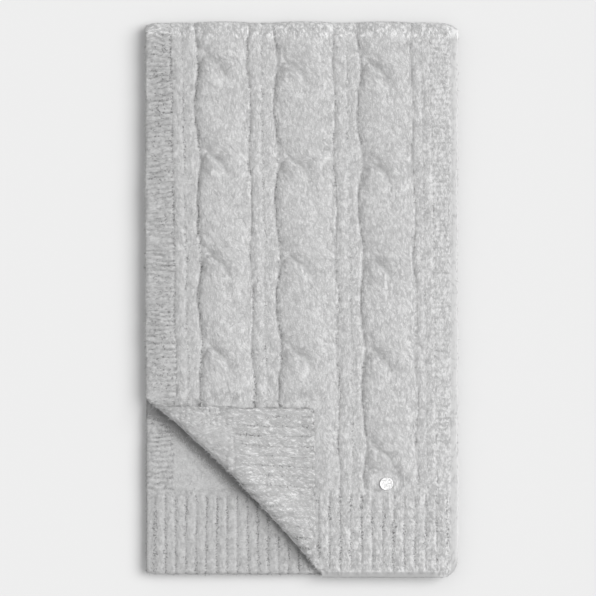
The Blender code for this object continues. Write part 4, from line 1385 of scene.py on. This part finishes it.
def in_window(x, y, z, up):
    """Where the second stretch's fuzz grows: where the turned corner uncovers it, and its edges."""
    at_edge = (np.abs(x) > HALF - 2.5) | (y < HEM_EDGE + 4.0)
    return ((crease_place(x, y)[0] > 13.0) & (up > 0.0)) | at_edge & (up > -0.7)


def round_stack(x, y, z, up):
    """Where the hidden layers' fuzz grows: their edges."""
    return (up < 0.8) & (up > -0.7) & (y < TURN_LINE - 4.0)


def yarn_grain(grown_on, place):
    """Which way the yarn runs at places on a piece."""
    x, y, _ = place.T
    if grown_on is not front:
        return np.broadcast_to((1.0, -0.15, 0.0) if grown_on is corner else (0.0, 1.0, 0.0), place.shape)
    slant = np.where(y > HEM_LINE, body_relief(x, y)[2], 0.0)
    banded = (x < COLUMN_PAIRS[0][0]) & (y > HEM_LINE)
    return unit(np.stack([np.where(banded, 1.0, slant), np.where(banded, 0.2, -1.0), 0.0 * x], -1))


FUZZ = (
    # piece, mesh it grows on, where, tufts, fibres in a tuft, length, lift, width, grain, knee
    ("front_fuzz_a", front, on_top, 22000, 3, 5.4, 0.05, 0.32, 2.6, True),
    ("front_fuzz_b", front, on_top, 33000, 3, 4.0, 0.07, 0.30, 2.2, False),
    ("front_fuzz_c", front, on_top, 20000, 3, 2.8, 0.25, 0.24, 1.2, False),
    ("corner_fuzz", corner, on_flap, 7600, 3, 4.8, 0.10, 0.32, 2.2, True),
    ("second_fuzz", second, in_window, 5200, 3, 4.2, 0.10, 0.32, 2.0, False),
    ("hidden_fuzz", hidden, round_stack, 3000, 3, 3.2, 0.30, 0.22, 0.6, False),
)
FUZZ_SIZES = ("tuft", "length", "lift", "width", "grain", "knee")
fuzz_of = {}
for seed, (name, grown_on, wanted, tufts, *sizes) in enumerate(FUZZ):
    rng = np.random.default_rng(100 + seed)
    roots, normals, painted_shade = surface_spots(grown_on, int(tufts * THINNING), rng, wanted)
    fuzz = build_fibres(name, grown_on, roots, normals, painted_shade, rng, dict(zip(FUZZ_SIZES, sizes)))
    fuzz.data.materials.append(fibre_wool)
    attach(fuzz, "root")
    fuzz_of.setdefault(grown_on.name, []).append(fuzz)

# ---- floor, light and camera

FLOOR_HALF = 3.0
floor_mesh = bpy.data.meshes.new("floor")
ends = (-FLOOR_HALF, FLOOR_HALF)
floor_mesh.from_pydata([(x, y, 0.0) for x in ends for y in ends], [], [(0, 2, 3, 1)])
floor = put("floor", floor_mesh)
paper, _, paper_shader = new_material("paper")
fill(paper_shader, {"Base Color": (0.60, 0.60, 0.60, 1.0), "Roughness": 1.0, "Specular IOR Level": 0.0})
floor_mesh.materials.append(paper)

SKY_LOW = 0.34
SKY_HIGH = 0.90
world = bpy.data.worlds.new("studio")
bpy.context.scene.world = world
world.use_nodes = True
sky = world.node_tree
upwards = add(sky, "SeparateXYZ", {"Vector": add(sky, "TexCoord", {}, "Generated")}, "Z")
softbox = {"Value": upwards, "To Min": SKY_LOW, "To Max": SKY_HIGH}
softbox = add(sky, "MapRange", softbox, interpolation_type="SMOOTHSTEP")
fill(sky.nodes["Background"], {"Color": (1.0, 1.0, 1.0, 1.0), "Strength": softbox})

key_data = bpy.data.lights.new("key", "SUN")
key_data.energy = 2.86
key_data.angle = math.radians(46.0)
put("key", key_data).rotation_euler = (math.radians(-9.0), math.radians(39.0), 0.0)

CAMERA_DISTANCE = 4.0
FIELD = 0.5768
SUBJECT_HEIGHT = 0.017
camera_data = bpy.data.cameras.new("camera")
camera_data.sensor_width = 36.0
camera_data.lens = 36.0 * CAMERA_DISTANCE / FIELD
camera_data.clip_end = 50.0
camera = put("camera", camera_data)
camera.location = (-0.0048, 0.0, SUBJECT_HEIGHT + CAMERA_DISTANCE)
bpy.context.scene.camera = camera
bpy.context.scene.view_settings.view_transform = "Standard"
